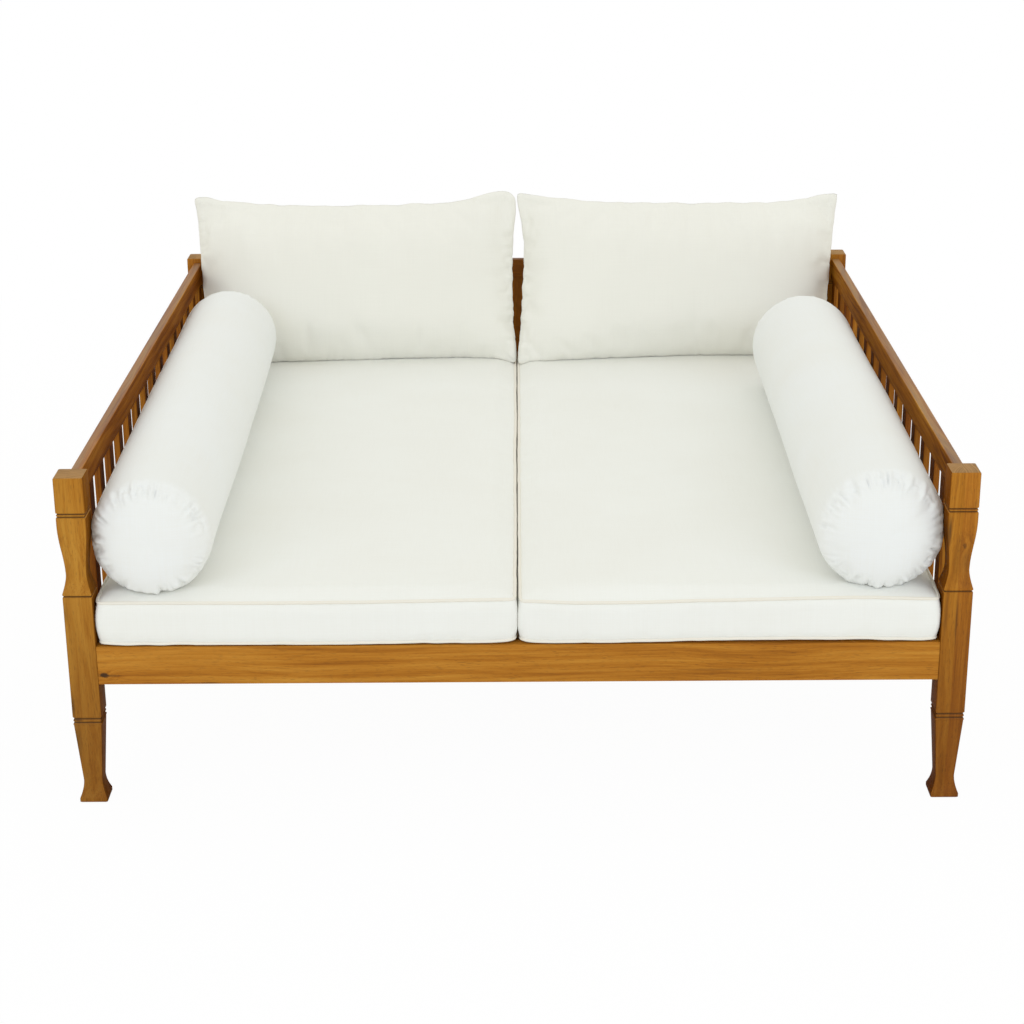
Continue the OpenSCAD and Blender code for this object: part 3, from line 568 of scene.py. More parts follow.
def post_levels():
    """The post's outline from its foot up, as (distance in from the square, height) in metres."""

    def curve(steps, top, drop, inset):
        """Levels of a curved stretch, upwards; inset(t) is for a share t down from its top."""
        shares = [k / steps for k in range(steps - 1, -1, -1)]
        return [(inset(t), top - drop * t) for t in shares]

    def double_groove(name):
        """Levels of a double groove, upwards."""
        top, tall = DOUBLE_GROOVES[name]
        return [(depth, top - tall * share_down) for share_down, depth in reversed(GROOVE_SECTION)]

    levels = [
        *SOLE,
        *curve(10, FOOT_TOP, FOOT_FLARE, lambda t: LEG_IN + (ANKLE_IN - LEG_IN) * (1 - t ** 1.9)),
        (LEG_IN, LEG_TOP),
        *double_groove("leg"),
        *SINGLE_GROOVE,
        *curve(10, WAIST, WAIST_BELOW, lambda t: WAIST_IN * (1 - t ** 1.5)),
        *curve(18, WAIST + WAIST_ABOVE, WAIST_ABOVE,
               lambda t: WAIST_IN * (1 - math.cos(math.pi * t)) / 2),
        *double_groove("cap"),
        *CAP,
    ]
    return [(inset * MM, height * MM) for inset, height in levels]


def four_sided_post(name, ease):
    """One post about the Z axis: a square block extruded up through every level of its outline."""

    def resize(before, after, z):
        """Scales the selected face at height z from one distance in from the square to another."""
        scale = (POST_W - 2 * after) / (POST_W - 2 * before)
        if abs(scale - 1) > 1e-9:
            bpy.ops.transform.resize(value=(scale, scale, 1), center_override=(0, 0, z))

    levels = post_levels()
    (inset, low), (_, high) = levels[:2]
    side = POST_W - 2 * inset
    piece = new_block(name, (0, 0, (low + high) / 2), (side, side, high - low))
    bpy.ops.object.mode_set(mode="EDIT")
    pick(piece, edges=lambda a, b: abs(a.z - b.z) > (high - low) / 2)
    bpy.ops.mesh.bevel(offset=ease, segments=3, affect="EDGES")
    pick(piece, faces=lambda middle, normal: normal.z > 0.9)
    resize(inset, levels[1][0], high)
    for (before, z), (after, above) in zip(levels[1:], levels[2:]):
        bpy.ops.mesh.extrude_region_move(TRANSFORM_OT_translate={"value": (0, 0, above - z)})
        resize(before, after, above)
    bpy.ops.object.mode_set(mode="OBJECT")
    bpy.ops.object.shade_smooth_by_angle(angle=math.radians(26))
    return piece


def settle(piece, body, material, replaced=()):
    """Gives a finished piece its material and body, and hides the CAD nodes that it stands for."""
    piece.data.materials.clear()
    piece.data.materials.append(material)
    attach(piece, body)
    if replaced:
        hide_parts(*replaced)


def refinish(names, material):
    """Gives CAD nodes, which keep their shape, a better material."""
    for name in names:
        node = NODES[name]
        if not node.material_slots:
            node.data.materials.append(material)
        for slot in node.material_slots:
            slot.material = material


# Stuffed cloth

def smoothstep(t):
    """0 up to 0 and 1 from 1 on, with an eased run between."""
    t = np.clip(t, 0.0, 1.0)
    return t * t * (3 - 2 * t)


def rounded(u, v, a, b, r):
    """Maps shares from -1 to 1 onto a rectangle with half sides a and b and rounded corners."""
    x, y = u * a, v * b
    px, py = abs(x) - (a - r), abs(y) - (b - r)
    if px > 0 and py > 0:
        sx, sy = px / r, py / r
        px, py = r * sx * math.sqrt(1 - sy * sy / 2), r * sy * math.sqrt(1 - sx * sx / 2)
        x, y = math.copysign(a - r + px, x), math.copysign(b - r + py, y)
    return x, y


def wave(place, size, seed):
    """Smooth noise from -1 to 1 at a point, with features of about the given size."""
    return noise.noise(Vector(place) / size + Vector((seed * 17.3, seed * 5.1, seed * 9.7)))


class Cover:
    """A stuffed cloth piece under construction: its points, faces, cut in metres, and seams."""

    def __init__(self):
        self.points, self.faces, self.cuts, self.seams = [], [], [], []

    def point(self, place):
        self.points.append(tuple(place))
        return len(self.points) - 1

    def face(self, corners, cut, flip=False):
        self.faces.append(corners[::-1] if flip else corners)
        self.cuts.append(cut[::-1] if flip else cut)

    def panel(self, grid, cut, flip=False):
        """Quads over a grid of point numbers; cut(i, j) gives the place on the cloth."""
        for i in range(len(grid) - 1):
            for j in range(len(grid[0]) - 1):
                corners = [(i, j), (i + 1, j), (i + 1, j + 1), (i, j + 1)]
                self.face([grid[a][b] for a, b in corners], [cut(a, b) for a, b in corners], flip)

    def tube(self, rings, cell, flip=False):
        """Quads between closed rings of point numbers, one cell of cloth each."""
        count = len(rings[0])
        for k in range(len(rings) - 1):
            for n in range(count):
                m = (n + 1) % count
                corners = [rings[k][n], rings[k][m], rings[k + 1][m], rings[k + 1][n]]
                cut = [(n * cell, k * cell), ((n + 1) * cell, k * cell),
                       ((n + 1) * cell, (k + 1) * cell), (n * cell, (k + 1) * cell)]
                self.face(corners, cut, flip)

    def build(self, name, crease=0.0):
        """The cover as an object; crease keeps its seams crisp where it is subdivided."""
        mesh = bpy.data.meshes.new(name)
        mesh.from_pydata(self.points, [], self.faces)
        if crease:
            sewn = {frozenset(pair) for seam in self.seams for pair in zip(seam, seam[1:] + seam[:1])}
            sharp = mesh.attributes.new("crease_edge", "FLOAT", "EDGE")
            for edge, mark in zip(mesh.edges, sharp.data):
                mark.value = crease if frozenset(edge.vertices) in sewn else 0.0
        layer = mesh.uv_layers.new(name="cut")
        layer.data.foreach_set("uv", [c for cut in self.cuts for place in cut for c in place])
        mesh.update()
        piece = bpy.data.objects.new(name, mesh)
        bpy.context.scene.collection.objects.link(piece)
        return piece


def read_points(piece, what="co"):
    """The places of a piece's points, or their normals."""
    flat = np.empty(len(piece.data.vertices) * 3, np.float32)
    piece.data.vertices.foreach_get(what, flat)
    return flat.reshape(-1, 3).astype(float)


def move_to(piece, places):
    """Moves the points of a piece to new places."""
    piece.data.vertices.foreach_set("co", np.asarray(places, np.float32).ravel())
    piece.data.update()


def push(piece, amount):
    """Moves each point of a piece out along its normal by what amount(place) gives."""
    places, normals = read_points(piece), read_points(piece, "normal")
    move_to(piece, places + normals * np.array([[amount(place)] for place in places]))


def run_tree(places):
    """A search tree over numbered places."""
    tree = KDTree(len(places))
    for number, place in places:
        tree.insert(place, number)
    tree.balance()
    return tree


def inflate(jobs, swell, near_seam):
    """Runs the cloth of several pieces side by side, then caps how far each point moved.

    jobs are (piece, seam point numbers); the seams hold their place, and the cloth between them is
    cut a little too large, so it puckers towards them as the real covers do. Within near_seam of a
    seam the cap falls to nothing, so that no fold hangs over the stitches.
    """
    canvas = bpy.context.scene.daybed_canvas
    scene = bpy.context.scene
    scene.frame_set(1)
    before = {}
    for piece, seams in jobs:
        before[piece.name] = read_points(piece)
        held = piece.vertex_groups.new(name="seams")
        held.add(sorted(seams), 1.0, "REPLACE")
        cloth = piece.modifiers.new("Cloth", "CLOTH")
        s = cloth.settings
        s.quality = 6
        s.mass = 0.25
        s.tension_stiffness = s.compression_stiffness = 18
        s.shear_stiffness = 6
        s.bending_stiffness = 0.35
        s.tension_damping = s.compression_damping = 8
        s.air_damping = 2
        s.shrink_min = -canvas.ease
        s.use_pressure = True
        s.uniform_pressure_force = canvas.pressure
        s.vertex_group_mass = "seams"
        s.pin_stiffness = 4
        s.effector_weights.gravity = 0
        cloth.collision_settings.use_collision = False
        cloth.point_cache.frame_start = 1
        cloth.point_cache.frame_end = canvas.frames
    for moment in range(1, canvas.frames + 1):
        scene.frame_set(moment)
    for piece, seams in jobs:
        chosen(piece)
        bpy.ops.object.modifier_apply(modifier="Cloth")
        start, end = before[piece.name], read_points(piece)
        step = end - start
        far = np.linalg.norm(step, axis=1, keepdims=True)
        tree = run_tree([(i, start[i]) for i in seams])
        away = np.array([tree.find(place)[2] for place in start])[:, None]
        cap = swell * smoothstep(away / near_seam)
        kept = np.where(far > 0, cap * np.tanh(far / np.maximum(cap, 1e-6)) / np.maximum(far, 1e-9), 0)
        move_to(piece, start + step * kept)
        piece.vertex_groups.clear()
    scene.frame_set(1)


def divide(piece, levels=1):
    """Applied subdivision, after which the first points keep their numbers."""
    chosen(piece)
    finer = piece.modifiers.new("Finer", "SUBSURF")
    finer.levels = finer.render_levels = levels
    bpy.ops.object.modifier_apply(modifier="Finer")
    bpy.ops.object.shade_smooth()


def pucker(piece, seams, reach, depth, spacing, seed, stitched=0.6, strength=lambda place: 1.0):
    """Draws gathers into the cloth beside its seams: lobes between the stitches, and creases in places.

    seams are closed runs of point numbers, stitched is how far the gathers show at the seam itself, and
    strength tells how strong they are at a place.
    """
    places = read_points(piece)
    run = [places[a] + (places[b] - places[a]) * t
           for seam in seams for a, b in zip(seam, seam[1:] + seam[:1]) for t in (0.0, 0.2, 0.4, 0.6, 0.8)]
    tree = run_tree(list(enumerate(run)))

    def gather(place):
        near, _, away = tree.find(place)
        if away >= reach:
            return 0.0
        fan = near + (Vector(place) - near) * 0.25
        lobe = 1 - 2.6 * (1 - min(1, abs(wave(near, spacing * 2.2, seed)) / 0.3)) ** 2
        patch = float(smoothstep(0.56 + 1.35 * wave(near, spacing * 5, seed + 5)))
        crease = abs(wave(fan, spacing, seed + 2)) ** 0.7 * 2.2 - 1.0
        fade = (1 - away / reach) ** 2
        clear = stitched + (1 - stitched) * min(1, away / (0.2 * reach))
        return depth * fade * clear * (0.3 * lobe + patch * crease) * strength(place)

    push(piece, gather)


def hang(piece, depth, spacing, seed):
    """Faint upright folds that fall from the upper edge of a back cushion and fade downwards."""
    top = read_points(piece)[:, 2].max()

    def fold(place):
        down = (top - place[2]) / (PILLOW_RISE * 0.42)
        if down >= 1:
            return 0.0
        ripple = wave((place[0], place[2] * 0.16, 0), spacing, seed)
        return depth * ripple * math.sin(math.pi * min(1, 0.12 + down * 0.88)) ** 1.2

    push(piece, fold)


def undulate(piece, depth, size, seed, stretch=(1, 1, 1)):
    """Gentle unevenness of the filling under the cloth."""
    push(piece, lambda place: depth * wave(place * stretch, size, seed))


def piping(name, rings, radius):
    """Round piping along closed runs of points, as a bevelled curve turned into a mesh."""
    line = bpy.data.curves.new(name, "CURVE")
    line.dimensions = "3D"
    line.bevel_depth = radius
    line.bevel_resolution = 2
    line.use_fill_caps = False
    line.resolution_u = 2
    for ring in rings:
        run = line.splines.new("NURBS")
        run.points.add(len(ring) - 1)
        for point, place in zip(run.points, ring):
            point.co = (*place, 1.0)
        run.use_cyclic_u = True
        run.order_u = 4
        run.resolution_u = 2
    piece = bpy.data.objects.new(name, line)
    bpy.context.scene.collection.objects.link(piece)
    chosen(piece)
    bpy.ops.object.convert(target="MESH")
    piece = bpy.context.object
    piece.name = piece.data.name = name
    bpy.ops.object.shade_smooth()
    return piece


# Seat cushions

# Height of the upper seam along the front edge: (share out from the middle, millimetres over the deck)
FRONT_SEAM = {
    "left": ((0.0, 84.0), (0.12, 84.0), (0.2, 82.8), (0.34, 80.8), (0.6, 80.3), (0.84, 81.7), (1.0, 82.0)),
    "right": ((0.0, 81.0), (0.05, 80.0), (0.12, 77.0), (0.26, 76.5), (0.46, 80.0), (0.68, 83.6),
              (0.82, 84.6), (0.94, 81.4), (1.0, 80.4)),
}
# How far the lower seam is lifted off the deck along the front edge, in the same way
FRONT_LIFT = {
    "left": ((0.0, 2.0), (0.04, 1.8), (0.18, 0.5), (0.46, 0.2), (0.75, 0.6), (1.0, 0.2)),
    "right": ((0.0, 1.0), (0.1, 0.3), (0.25, 0.2), (0.38, 2.6), (0.52, 4.3), (0.66, 4.4), (0.81, 3.6),
              (0.93, 0.4), (1.0, 0.2)),
}
# Heights of the seams over the deck away from the front edge
SEAM_HEIGHT = 81 * MM
SEAM_LIFT = 1.5 * MM
# Furthest out from the middle, and how far behind the posts' front face
SEAT_REACH = 719.2 * MM
SEAT_FRONT = 1.6 * MM
# Rise of the crown, radius of the corners in plan, and how far the sides pull in between the corners
SEAT_CROWN = 3.2 * MM
SEAT_CORNERS = {"upper": 6 * MM, "lower": 10 * MM}
SEAT_DRAW = {"inner": 0.8 * MM, "outer": 2.6 * MM, "ends": 1.0 * MM}
# How far the piping stands out from the seam that it is sewn into
PIPING_OUT = 0.9 * MM
SEAT_SEEDS = {
    "left": {"cover": 3, "gathers": 4, "filling": 5},
    "right": {"cover": 8, "gathers": 6, "filling": 7},
}


def table(rows, t):
    """Reads a value in metres from a short table in millimetres."""
    return float(np.interp(t, [row[0] for row in rows], [row[1] for row in rows])) * MM


def edge_loop(nx, ny):
    """The steps once round the edge of a grid."""
    loop = [(i, 0) for i in range(nx)] + [(nx, j) for j in range(ny)]
    return loop + [(i, ny) for i in range(nx, 0, -1)] + [(0, j) for j in range(ny, 0, -1)]


def outward(away):
    """Which way is out, in plan, at a place given in shares of the half sides."""
    return np.where(np.abs(away) >= np.abs(away).max() - 0.02, np.sign(away), 0.0)


def seat_cover(name, cell, cord):
    """The box cushion's cover before it is filled: top, boxing and bottom, with both piped seams."""
    side = SIDES[name]
    cover = Cover()
    inner, outer = SEAT_LOW[0] - 1.0 * MM + cord, SEAT_REACH - cord
    front, rear = SEAT_FRONT - HALF_D + cord, SEAT_HIGH[1] - cord
    a, b = (outer - inner) / 2, (rear - front) / 2
    cx, cy = (inner + outer) / 2, (front + rear) / 2
    nx, ny = round(2 * a / cell), round(2 * b / cell)
    seed = SEAT_SEEDS[name]["cover"]

    def outline(i, j, level):
        """Place in plan, and how far in from the edge; level is 1 for the top and 0 for the bottom."""
        u, v = 2 * i / nx - 1, 2 * j / ny - 1
        x, y = rounded(u, v, a, b, SEAT_CORNERS["upper" if level else "lower"])
        at_edge = max(abs(u), abs(v)) ** 24
        out = 1.2 * MM * wave((x, y, level), 0.17, seed + level)
        if abs(u) > abs(v):
            draw = SEAT_DRAW["inner" if u < 0 else "outer"] * (1 - v ** 4)
            x += math.copysign(at_edge * ((out if u > 0 else 0) - draw), u)
        else:
            draw = SEAT_DRAW["ends"] * (1 - u ** 4)
            y += math.copysign(at_edge * ((out if v > 0 else 0.4 * out) - draw), v)
        return side * (cx + x), cy + y, max(0.0, min(a - abs(x), b - abs(y)))

    def seam_height(x, y, level):
        """Height of a seam over the deck: as photographed at the front, gently uneven elsewhere."""
        across = (abs(x) - inner) / (2 * a)
        ahead = float(smoothstep((front + 0.22 - y) / 0.22))
        if level:
            plain = SEAM_HEIGHT + 1.3 * MM * wave((x, y, 1), 0.24, seed)
            return plain + (table(FRONT_SEAM[name], across) - plain) * ahead
        plain = SEAM_LIFT + 0.9 * MM * abs(wave((x, y, 3), 0.2, seed))
        corner = max(0.0, 1 - math.hypot(abs(x) - inner, y - front) / 0.03)
        return cord + plain + (table(FRONT_LIFT[name], across) - plain) * ahead + 5 * MM * corner ** 2

    def top(i, j):
        x, y, inside = outline(i, j, 1)
        edge = seam_height(x, y, 1)
        swell = 1 - (1 - min(1, inside / 0.05)) ** 2.2
        crown = max(0, (1 - ((abs(x) - cx) / a) ** 4) * (1 - ((y - cy) / b) ** 4))
        full = SEAT_HIGH[2] - DECK_Z - SEAT_CROWN + SEAT_CROWN * crown
        return x, y, DECK_Z + edge + (full - edge) * swell

    def bottom(i, j):
        x, y, inside = outline(i, j, 0)
        edge = seam_height(x, y, 0)
        swell = 1 - (1 - min(1, inside / 0.035)) ** 2.2
        flat = 0.3 * MM
        return x, y, DECK_Z + flat + (edge - flat) * (1 - swell)

    upper = [[cover.point(top(i, j)) for j in range(ny + 1)] for i in range(nx + 1)]
    lower = [[cover.point(bottom(i, j)) for j in range(ny + 1)] for i in range(nx + 1)]
    step_x, step_y = 2 * a / nx, 2 * b / ny
    cover.panel(upper, lambda i, j: (i * step_x, j * step_y), flip=side < 0)
    cover.panel(lower, lambda i, j: (i * step_x, j * step_y), flip=side > 0)
    loop = edge_loop(nx, ny)
    levels = max(4, round((SEAM_HEIGHT - SEAM_LIFT) / cell))
    rings = [[lower[i][j] for i, j in loop]]
    for k in range(1, levels):
        t = k / levels
        ring = []
        for i, j in loop:
            p, q = np.array(cover.points[lower[i][j]]), np.array(cover.points[upper[i][j]])
            place = p + (q - p) * t
            away = np.array([(place[0] - side * cx) / a, (place[1] - cy) / b])
            place[:2] += outward(away) * (cord + 0.6 * MM) * math.sin(math.pi * t) ** 0.6
            ring.append(cover.point(place))
        rings.append(ring)
    rings.append([upper[i][j] for i, j in loop])
    cover.tube(rings, cell, flip=side < 0)
    cover.seams = [rings[0], rings[-1]]
    return cover


def cord_rings(piece, cover, side):
    """The runs that a seat cushion's piping follows, just outside its seams."""
    places = read_points(piece)
    centre = np.array([side * (SEAT_LOW[0] + SEAT_HIGH[0]) / 2, (SEAT_LOW[1] + SEAT_HIGH[1]) / 2])
    span = np.array([SEAT_HIGH[0], SEAT_HIGH[1] - SEAT_LOW[1]]) / 2
    rings = []
    for seam in cover.seams:
        out = [outward((places[i][:2] - centre) / span) for i in seam]
        rings.append([places[i] + PIPING_OUT * np.append(step, 0.0) for i, step in zip(seam, out)])
    return rings


def seat_limits(places, side):
    """Keeps a seat cushion off the deck, its neighbour, the posts and the rear rail."""
    places[:, 0] = np.clip(places[:, 0] * side, 0.15 * MM, SEAT_REACH) * side
    places[:, 1] = np.clip(places[:, 1], 0.4 * MM - HALF_D, SEAT_HIGH[1])
    places[:, 2] = np.clip(places[:, 2], DECK_Z + 0.2 * MM, SEAT_HIGH[2] + 3 * MM)
    return places


# Back cushions

# Size of a back cushion before it is filled: its height along its own slope, and its thickness
PILLOW_RISE = 362.5 * MM
PILLOW_THICK = 112 * MM
# How far the upper edge stands above its middle: (share from the middle to the end, millimetres)
INNER_EAR = {
    "left": ((0.0, 0), (0.15, 0), (0.4, 2), (0.59, 6), (0.71, 13), (0.84, 26), (0.88, 30), (0.91, 31),
             (0.945, 30), (0.965, 28), (1.0, 15)),
    "right": ((0.0, 0), (0.11, 0.5), (0.36, 3), (0.61, 8), (0.73, 14), (0.86, 20), (0.95, 25), (1.0, 27)),
}
OUTER_EAR = {
    "left": ((0.0, 0), (0.16, 0), (0.47, 2), (0.6, 4), (0.72, 8), (0.82, 12), (0.91, 20), (0.97, 20),
             (1.0, 19)),
    "right": ((0.0, 0), (0.39, 0), (0.64, 2), (0.77, 8), (0.86, 15), (0.95, 20), (1.0, 21)),
}
# How far forward the foot is set: (share from the inner end, -1, to the outer one, millimetres)
FOOT_STEP = {
    "left": ((-1.0, 16), (-0.85, 4), (-0.66, -8), (-0.3, -2), (0.1, 8), (0.5, 20), (1.0, 24)),
    "right": ((-1.0, 28), (-0.7, 17), (-0.4, 5), (0.1, -15), (0.4, -13), (1.0, -12)),
}
# How far an end stands in from its reach: (share up, millimetres)
INNER_DRAW = {
    "left": ((0.0, 1), (0.12, 1.5), (0.25, 7), (0.37, 7), (0.5, 8.5), (0.64, 9), (0.83, 7.5), (0.92, 2),
             (1.0, 1)),
    "right": ((0.0, 1.5), (0.1, 3), (0.19, 7), (0.31, 11), (0.5, 13.5), (0.64, 17), (0.73, 17),
              (0.85, 12), (0.92, 6), (1.0, 0)),
}
OUTER_DRAW = {
    "left": ((0.0, 28), (0.3, 27), (0.45, 24), (0.5, 21), (0.6, 19), (0.68, 16), (0.8, 14), (0.9, 11),
             (0.96, 6), (1.0, 0)),
    "right": ((0.0, 26), (0.3, 26), (0.43, 25), (0.5, 23), (0.58, 21), (0.66, 19), (0.72, 17), (0.8, 13),
              (0.9, 9), (0.95, 5), (1.0, 0)),
}
# Furthest out from the middle
PILLOW_REACH = 747 * MM
PILLOW_SEEDS = {
    "left": {"cover": 12, "gathers": 11, "folds": 31, "filling": 15},
    "right": {"cover": 21, "gathers": 13, "folds": 37, "filling": 18},
}


def back_cover(name, cell, lean):
    """A knife-edge back cushion: two panels that meet at a seam with pointed upper corners."""
    side = SIDES[name]
    cover = Cover()
    half = PILLOW_REACH / 2
    foot_z = PILLOW_LOW[2]
    rise_of_rail = (BACK_RAIL_HIGH[2] - foot_z) * math.sin(lean)
    foot_y = BACK_FACE - (PILLOW_THICK / 2 + 0.5 * MM + rise_of_rail) / math.cos(lean)
    nu, nv = round(2 * half / cell), round(PILLOW_RISE / cell)
    seed = PILLOW_SEEDS[name]["cover"]

    def outline(u, v):
        """Place across and up the cushion's own plane, for shares from -1 to 1."""
        x, y = rounded(u, v, half, PILLOW_RISE / 2, 10 * MM)
        u, v = x / half, y / (PILLOW_RISE / 2)
        up = (v + 1) / 2
        ear = table(OUTER_EAR[name], u) if u > 0 else table(INNER_EAR[name], -u)
        draw = table(OUTER_DRAW[name], up) if u > 0 else table(INNER_DRAW[name], up)
        x -= math.copysign(draw * abs(u) ** 3, u)
        rise = PILLOW_RISE * up + ear * max(0, v) ** 2.2
        edge = max(abs(u), abs(v)) ** 12
        x += edge * 1.2 * MM * wave((x, rise, 0), 0.02, seed) * (abs(u) > 0.9)
        rise += edge * 0.9 * MM * wave((x, rise, 3), 0.035, seed)
        return x, rise

    def thickness(u, v):
        """Half the thickness; the filling has sunk a little towards the foot."""
        body = (1 - abs(u) ** 3.2) * (1 - abs(v) ** (2.8 if v > 0 else 5.0))
        heavy = 1 + 0.1 * (-v if v < 0 else -0.8 * v)
        return PILLOW_THICK / 2 * heavy * max(0.0, body) ** 0.58

    def place(u, v, face):
        x, rise = outline(u, v)
        out = face * thickness(u, v)
        step = table(FOOT_STEP[name], u) * ((1 - v) / 2) ** 2
        y = foot_y - step + rise * math.sin(lean) + out * math.cos(lean)
        z = foot_z + rise * math.cos(lean) - out * math.sin(lean)
        return side * (half + x), y, z

    def crowded(t):
        """Spaces the grid's lines closer towards the seam."""
        return 0.66 * t + 0.34 * math.sin(math.pi * t / 2)

    us = [crowded(2 * i / nu - 1) for i in range(nu + 1)]
    vs = [crowded(2 * j / nv - 1) for j in range(nv + 1)]
    front = [[cover.point(place(u, v, -1)) for v in vs] for u in us]
    back = [[front[i][j] if i in (0, nu) or j in (0, nv) else cover.point(place(us[i], vs[j], 1))
             for j in range(nv + 1)] for i in range(nu + 1)]
    cover.panel(front, lambda i, j: (us[i] * half, vs[j] * PILLOW_RISE / 2), flip=side < 0)
    cover.panel(back, lambda i, j: (us[i] * half, vs[j] * PILLOW_RISE / 2), flip=side > 0)
    cover.seams = [[front[i][j] for i, j in edge_loop(nu, nv)]]
    return cover


def more_at_ends(place):
    """How strongly a back cushion gathers: fully along its ends, and less along its top and foot."""
    middle = PILLOW_REACH / 2
    corner = float(smoothstep((place[2] - PILLOW_LOW[2] - 0.76 * PILLOW_RISE) / (0.2 * PILLOW_RISE)))
    at_end = float(smoothstep((abs(abs(place[0]) - middle) / middle - 0.78) / 0.14))
    return 0.5 + 0.5 * at_end * (1 - 0.75 * corner)


def rail_line(z):
    """Furthest out that a back cushion reaches at a height, so that it lifts out between the rails."""
    reach = RAIL_FACE - 3 * MM
    slope = (PILLOW_HIGH[0] - reach) / (PILLOW_HIGH[2] - RAIL_HIGH[2])
    return reach + slope * (z - RAIL_HIGH[2])


def back_limits(places, side):
    """Keeps a back cushion between the rails, in front of the back and off the other cushion."""
    low = places[:, 2] < RAIL_HIGH[2] + 12 * MM
    furthest = np.where(low, rail_line(places[:, 2]), PILLOW_REACH)
    places[:, 0] = np.clip(places[:, 0] * side, 0.6 * MM, furthest) * side
    below = smoothstep((BACK_RAIL_HIGH[2] + 10 * MM - places[:, 2]) / (8 * MM))
    stop = BACK_FACE - 0.5 * MM
    places[:, 1] = np.where(places[:, 1] > stop, places[:, 1] * (1 - below) + stop * below, places[:, 1])
    return places


# Bolsters

# In millimetres: radius, the axis's distance from the middle at the front and rear ends, how far behind
# the posts' front face the bolster starts and ends, and how far the seams' lowest point stands out
BOLSTERS = {
    "left": {"radius": 103, "front": 620.5, "rear": 646, "start": 4, "end": 1350, "point": 12},
    "right": {"radius": 108.5, "front": 618.5, "rear": 630, "start": 7, "end": 1235, "point": 9},
}
BOLSTER_SEEDS = {
    "left": {"cover": 33, "gathers": 25, "filling": 22},
    "right": {"cover": 41, "gathers": 28, "filling": 24},
}
# How deep a bolster sinks into the seat
BOLSTER_SINK = 9 * MM
# An end: its seam as a share of the radius, the dome of its panel, and the length of the shoulder
END_SHARE = 0.9
END_DOME = 24 * MM
SHOULDER = 34 * MM


def bolster_cover(name, cell):
    """A bolster: a tube of cloth that rounds over at its ends into gathered round panels."""
    side, spec = SIDES[name], BOLSTERS[name]
    cover = Cover()
    radius = spec["radius"] * MM
    start, end = spec["start"] * MM - HALF_D, spec["end"] * MM - HALF_D
    seed = BOLSTER_SEEDS[name]["cover"]
    axis_z = SEAT_HIGH[2] + radius - BOLSTER_SINK
    around = round(2 * math.pi * radius / cell)
    first, last = start + END_DOME, end - END_DOME

    def middle(y):
        t = (y - start) / (end - start)
        bend = 2.5 * MM * wave((0, y, 0), 0.5, seed)
        return side * (spec["front"] * MM + (spec["rear"] - spec["front"]) * MM * t + bend)

    def ring(y, share_out, way=0):
        """One ring round the tube; with way -1 or 1, an end's seam, which leans and wavers a little."""
        made = []
        for n in range(around):
            angle = 2 * math.pi * n / around
            up, out = math.cos(angle), math.sin(angle)
            swell = 1 + 0.012 * wave((up, out, y * 3), 0.9, seed)
            reach = radius * share_out * swell
            lean = 0.0
            if way:
                lean = -2.5 * MM * up + 1.8 * MM * wave((up, out, 2), 0.4, seed)
                lean -= spec["point"] * MM * math.exp(-((angle - math.pi) / 0.75) ** 2)
                lean *= -way
            made.append((middle(y) + side * reach * out, y + lean, axis_z + reach * up))
        return made

    shoulder_steps = 5
    spots = []
    for k in range(shoulder_steps):
        t = (k / shoulder_steps) ** 1.5
        spots.append((SHOULDER * t, END_SHARE + (1 - END_SHARE) * (1 - (1 - t) ** 3.4)))
    straight = last - first - 2 * SHOULDER
    body = round(straight / cell)
    places = [(first + deep, share_out, 0 if deep else -1) for deep, share_out in spots]
    places += [(first + SHOULDER + straight * k / body, 1.0) for k in range(body + 1)]
    places += [(last - deep, share_out, 0 if deep else 1) for deep, share_out in reversed(spots)]
    rings = [[cover.point(place) for place in ring(*spot)] for spot in places]
    cover.tube(rings, cell, flip=side < 0)

    def on_disc(number, share_out):
        angle = 2 * math.pi * number / around
        reach = radius * END_SHARE * share_out
        return reach * math.sin(angle), reach * math.cos(angle)

    shares = [0.94, 0.85, 0.74, 0.62, 0.5, 0.38, 0.26, 0.14]
    for outer_ring, way in ((rings[0], -1), (rings[-1], 1)):
        at = first if way < 0 else last
        heart = np.array([middle(at), at, axis_z])
        panels = [outer_ring]
        for s in shares:
            one = []
            for number in outer_ring:
                place = heart + (np.array(cover.points[number]) - heart) * s
                place[1] += way * END_DOME * (1 - s ** 2.4)
                one.append(cover.point(place))
            panels.append(one)
        tip = cover.point((heart[0], at + way * END_DOME, axis_z))
        flip = (way < 0) != (side > 0)
        for outer, inner, so, si in zip(panels, panels[1:], [1.0] + shares, shares):
            for n in range(around):
                m = (n + 1) % around
                cover.face([outer[n], inner[n], inner[m], outer[m]],
                           [on_disc(n, so), on_disc(n, si), on_disc(n + 1, si), on_disc(n + 1, so)], flip)
        for n in range(around):
            m = (n + 1) % around
            cover.face([panels[-1][n], tip, panels[-1][m]],
                       [on_disc(n, shares[-1]), (0, 0), on_disc(n + 1, shares[-1])], flip)
    cover.seams = [rings[0], rings[-1]]
    return cover


def bolster_limits(places, side):
    """Keeps a bolster inside the rail and slats, and inside the front post where it lies beside it."""
    behind = smoothstep((places[:, 1] + HALF_D - POST_W - 1 * MM) / (16 * MM))
    beside_post = HALF_W - POST_W - 0.4 * MM
    reach = beside_post + (RAIL_FACE - 0.4 * MM - beside_post) * behind
    places[:, 0] = np.minimum(places[:, 0] * side, reach) * side
    return places


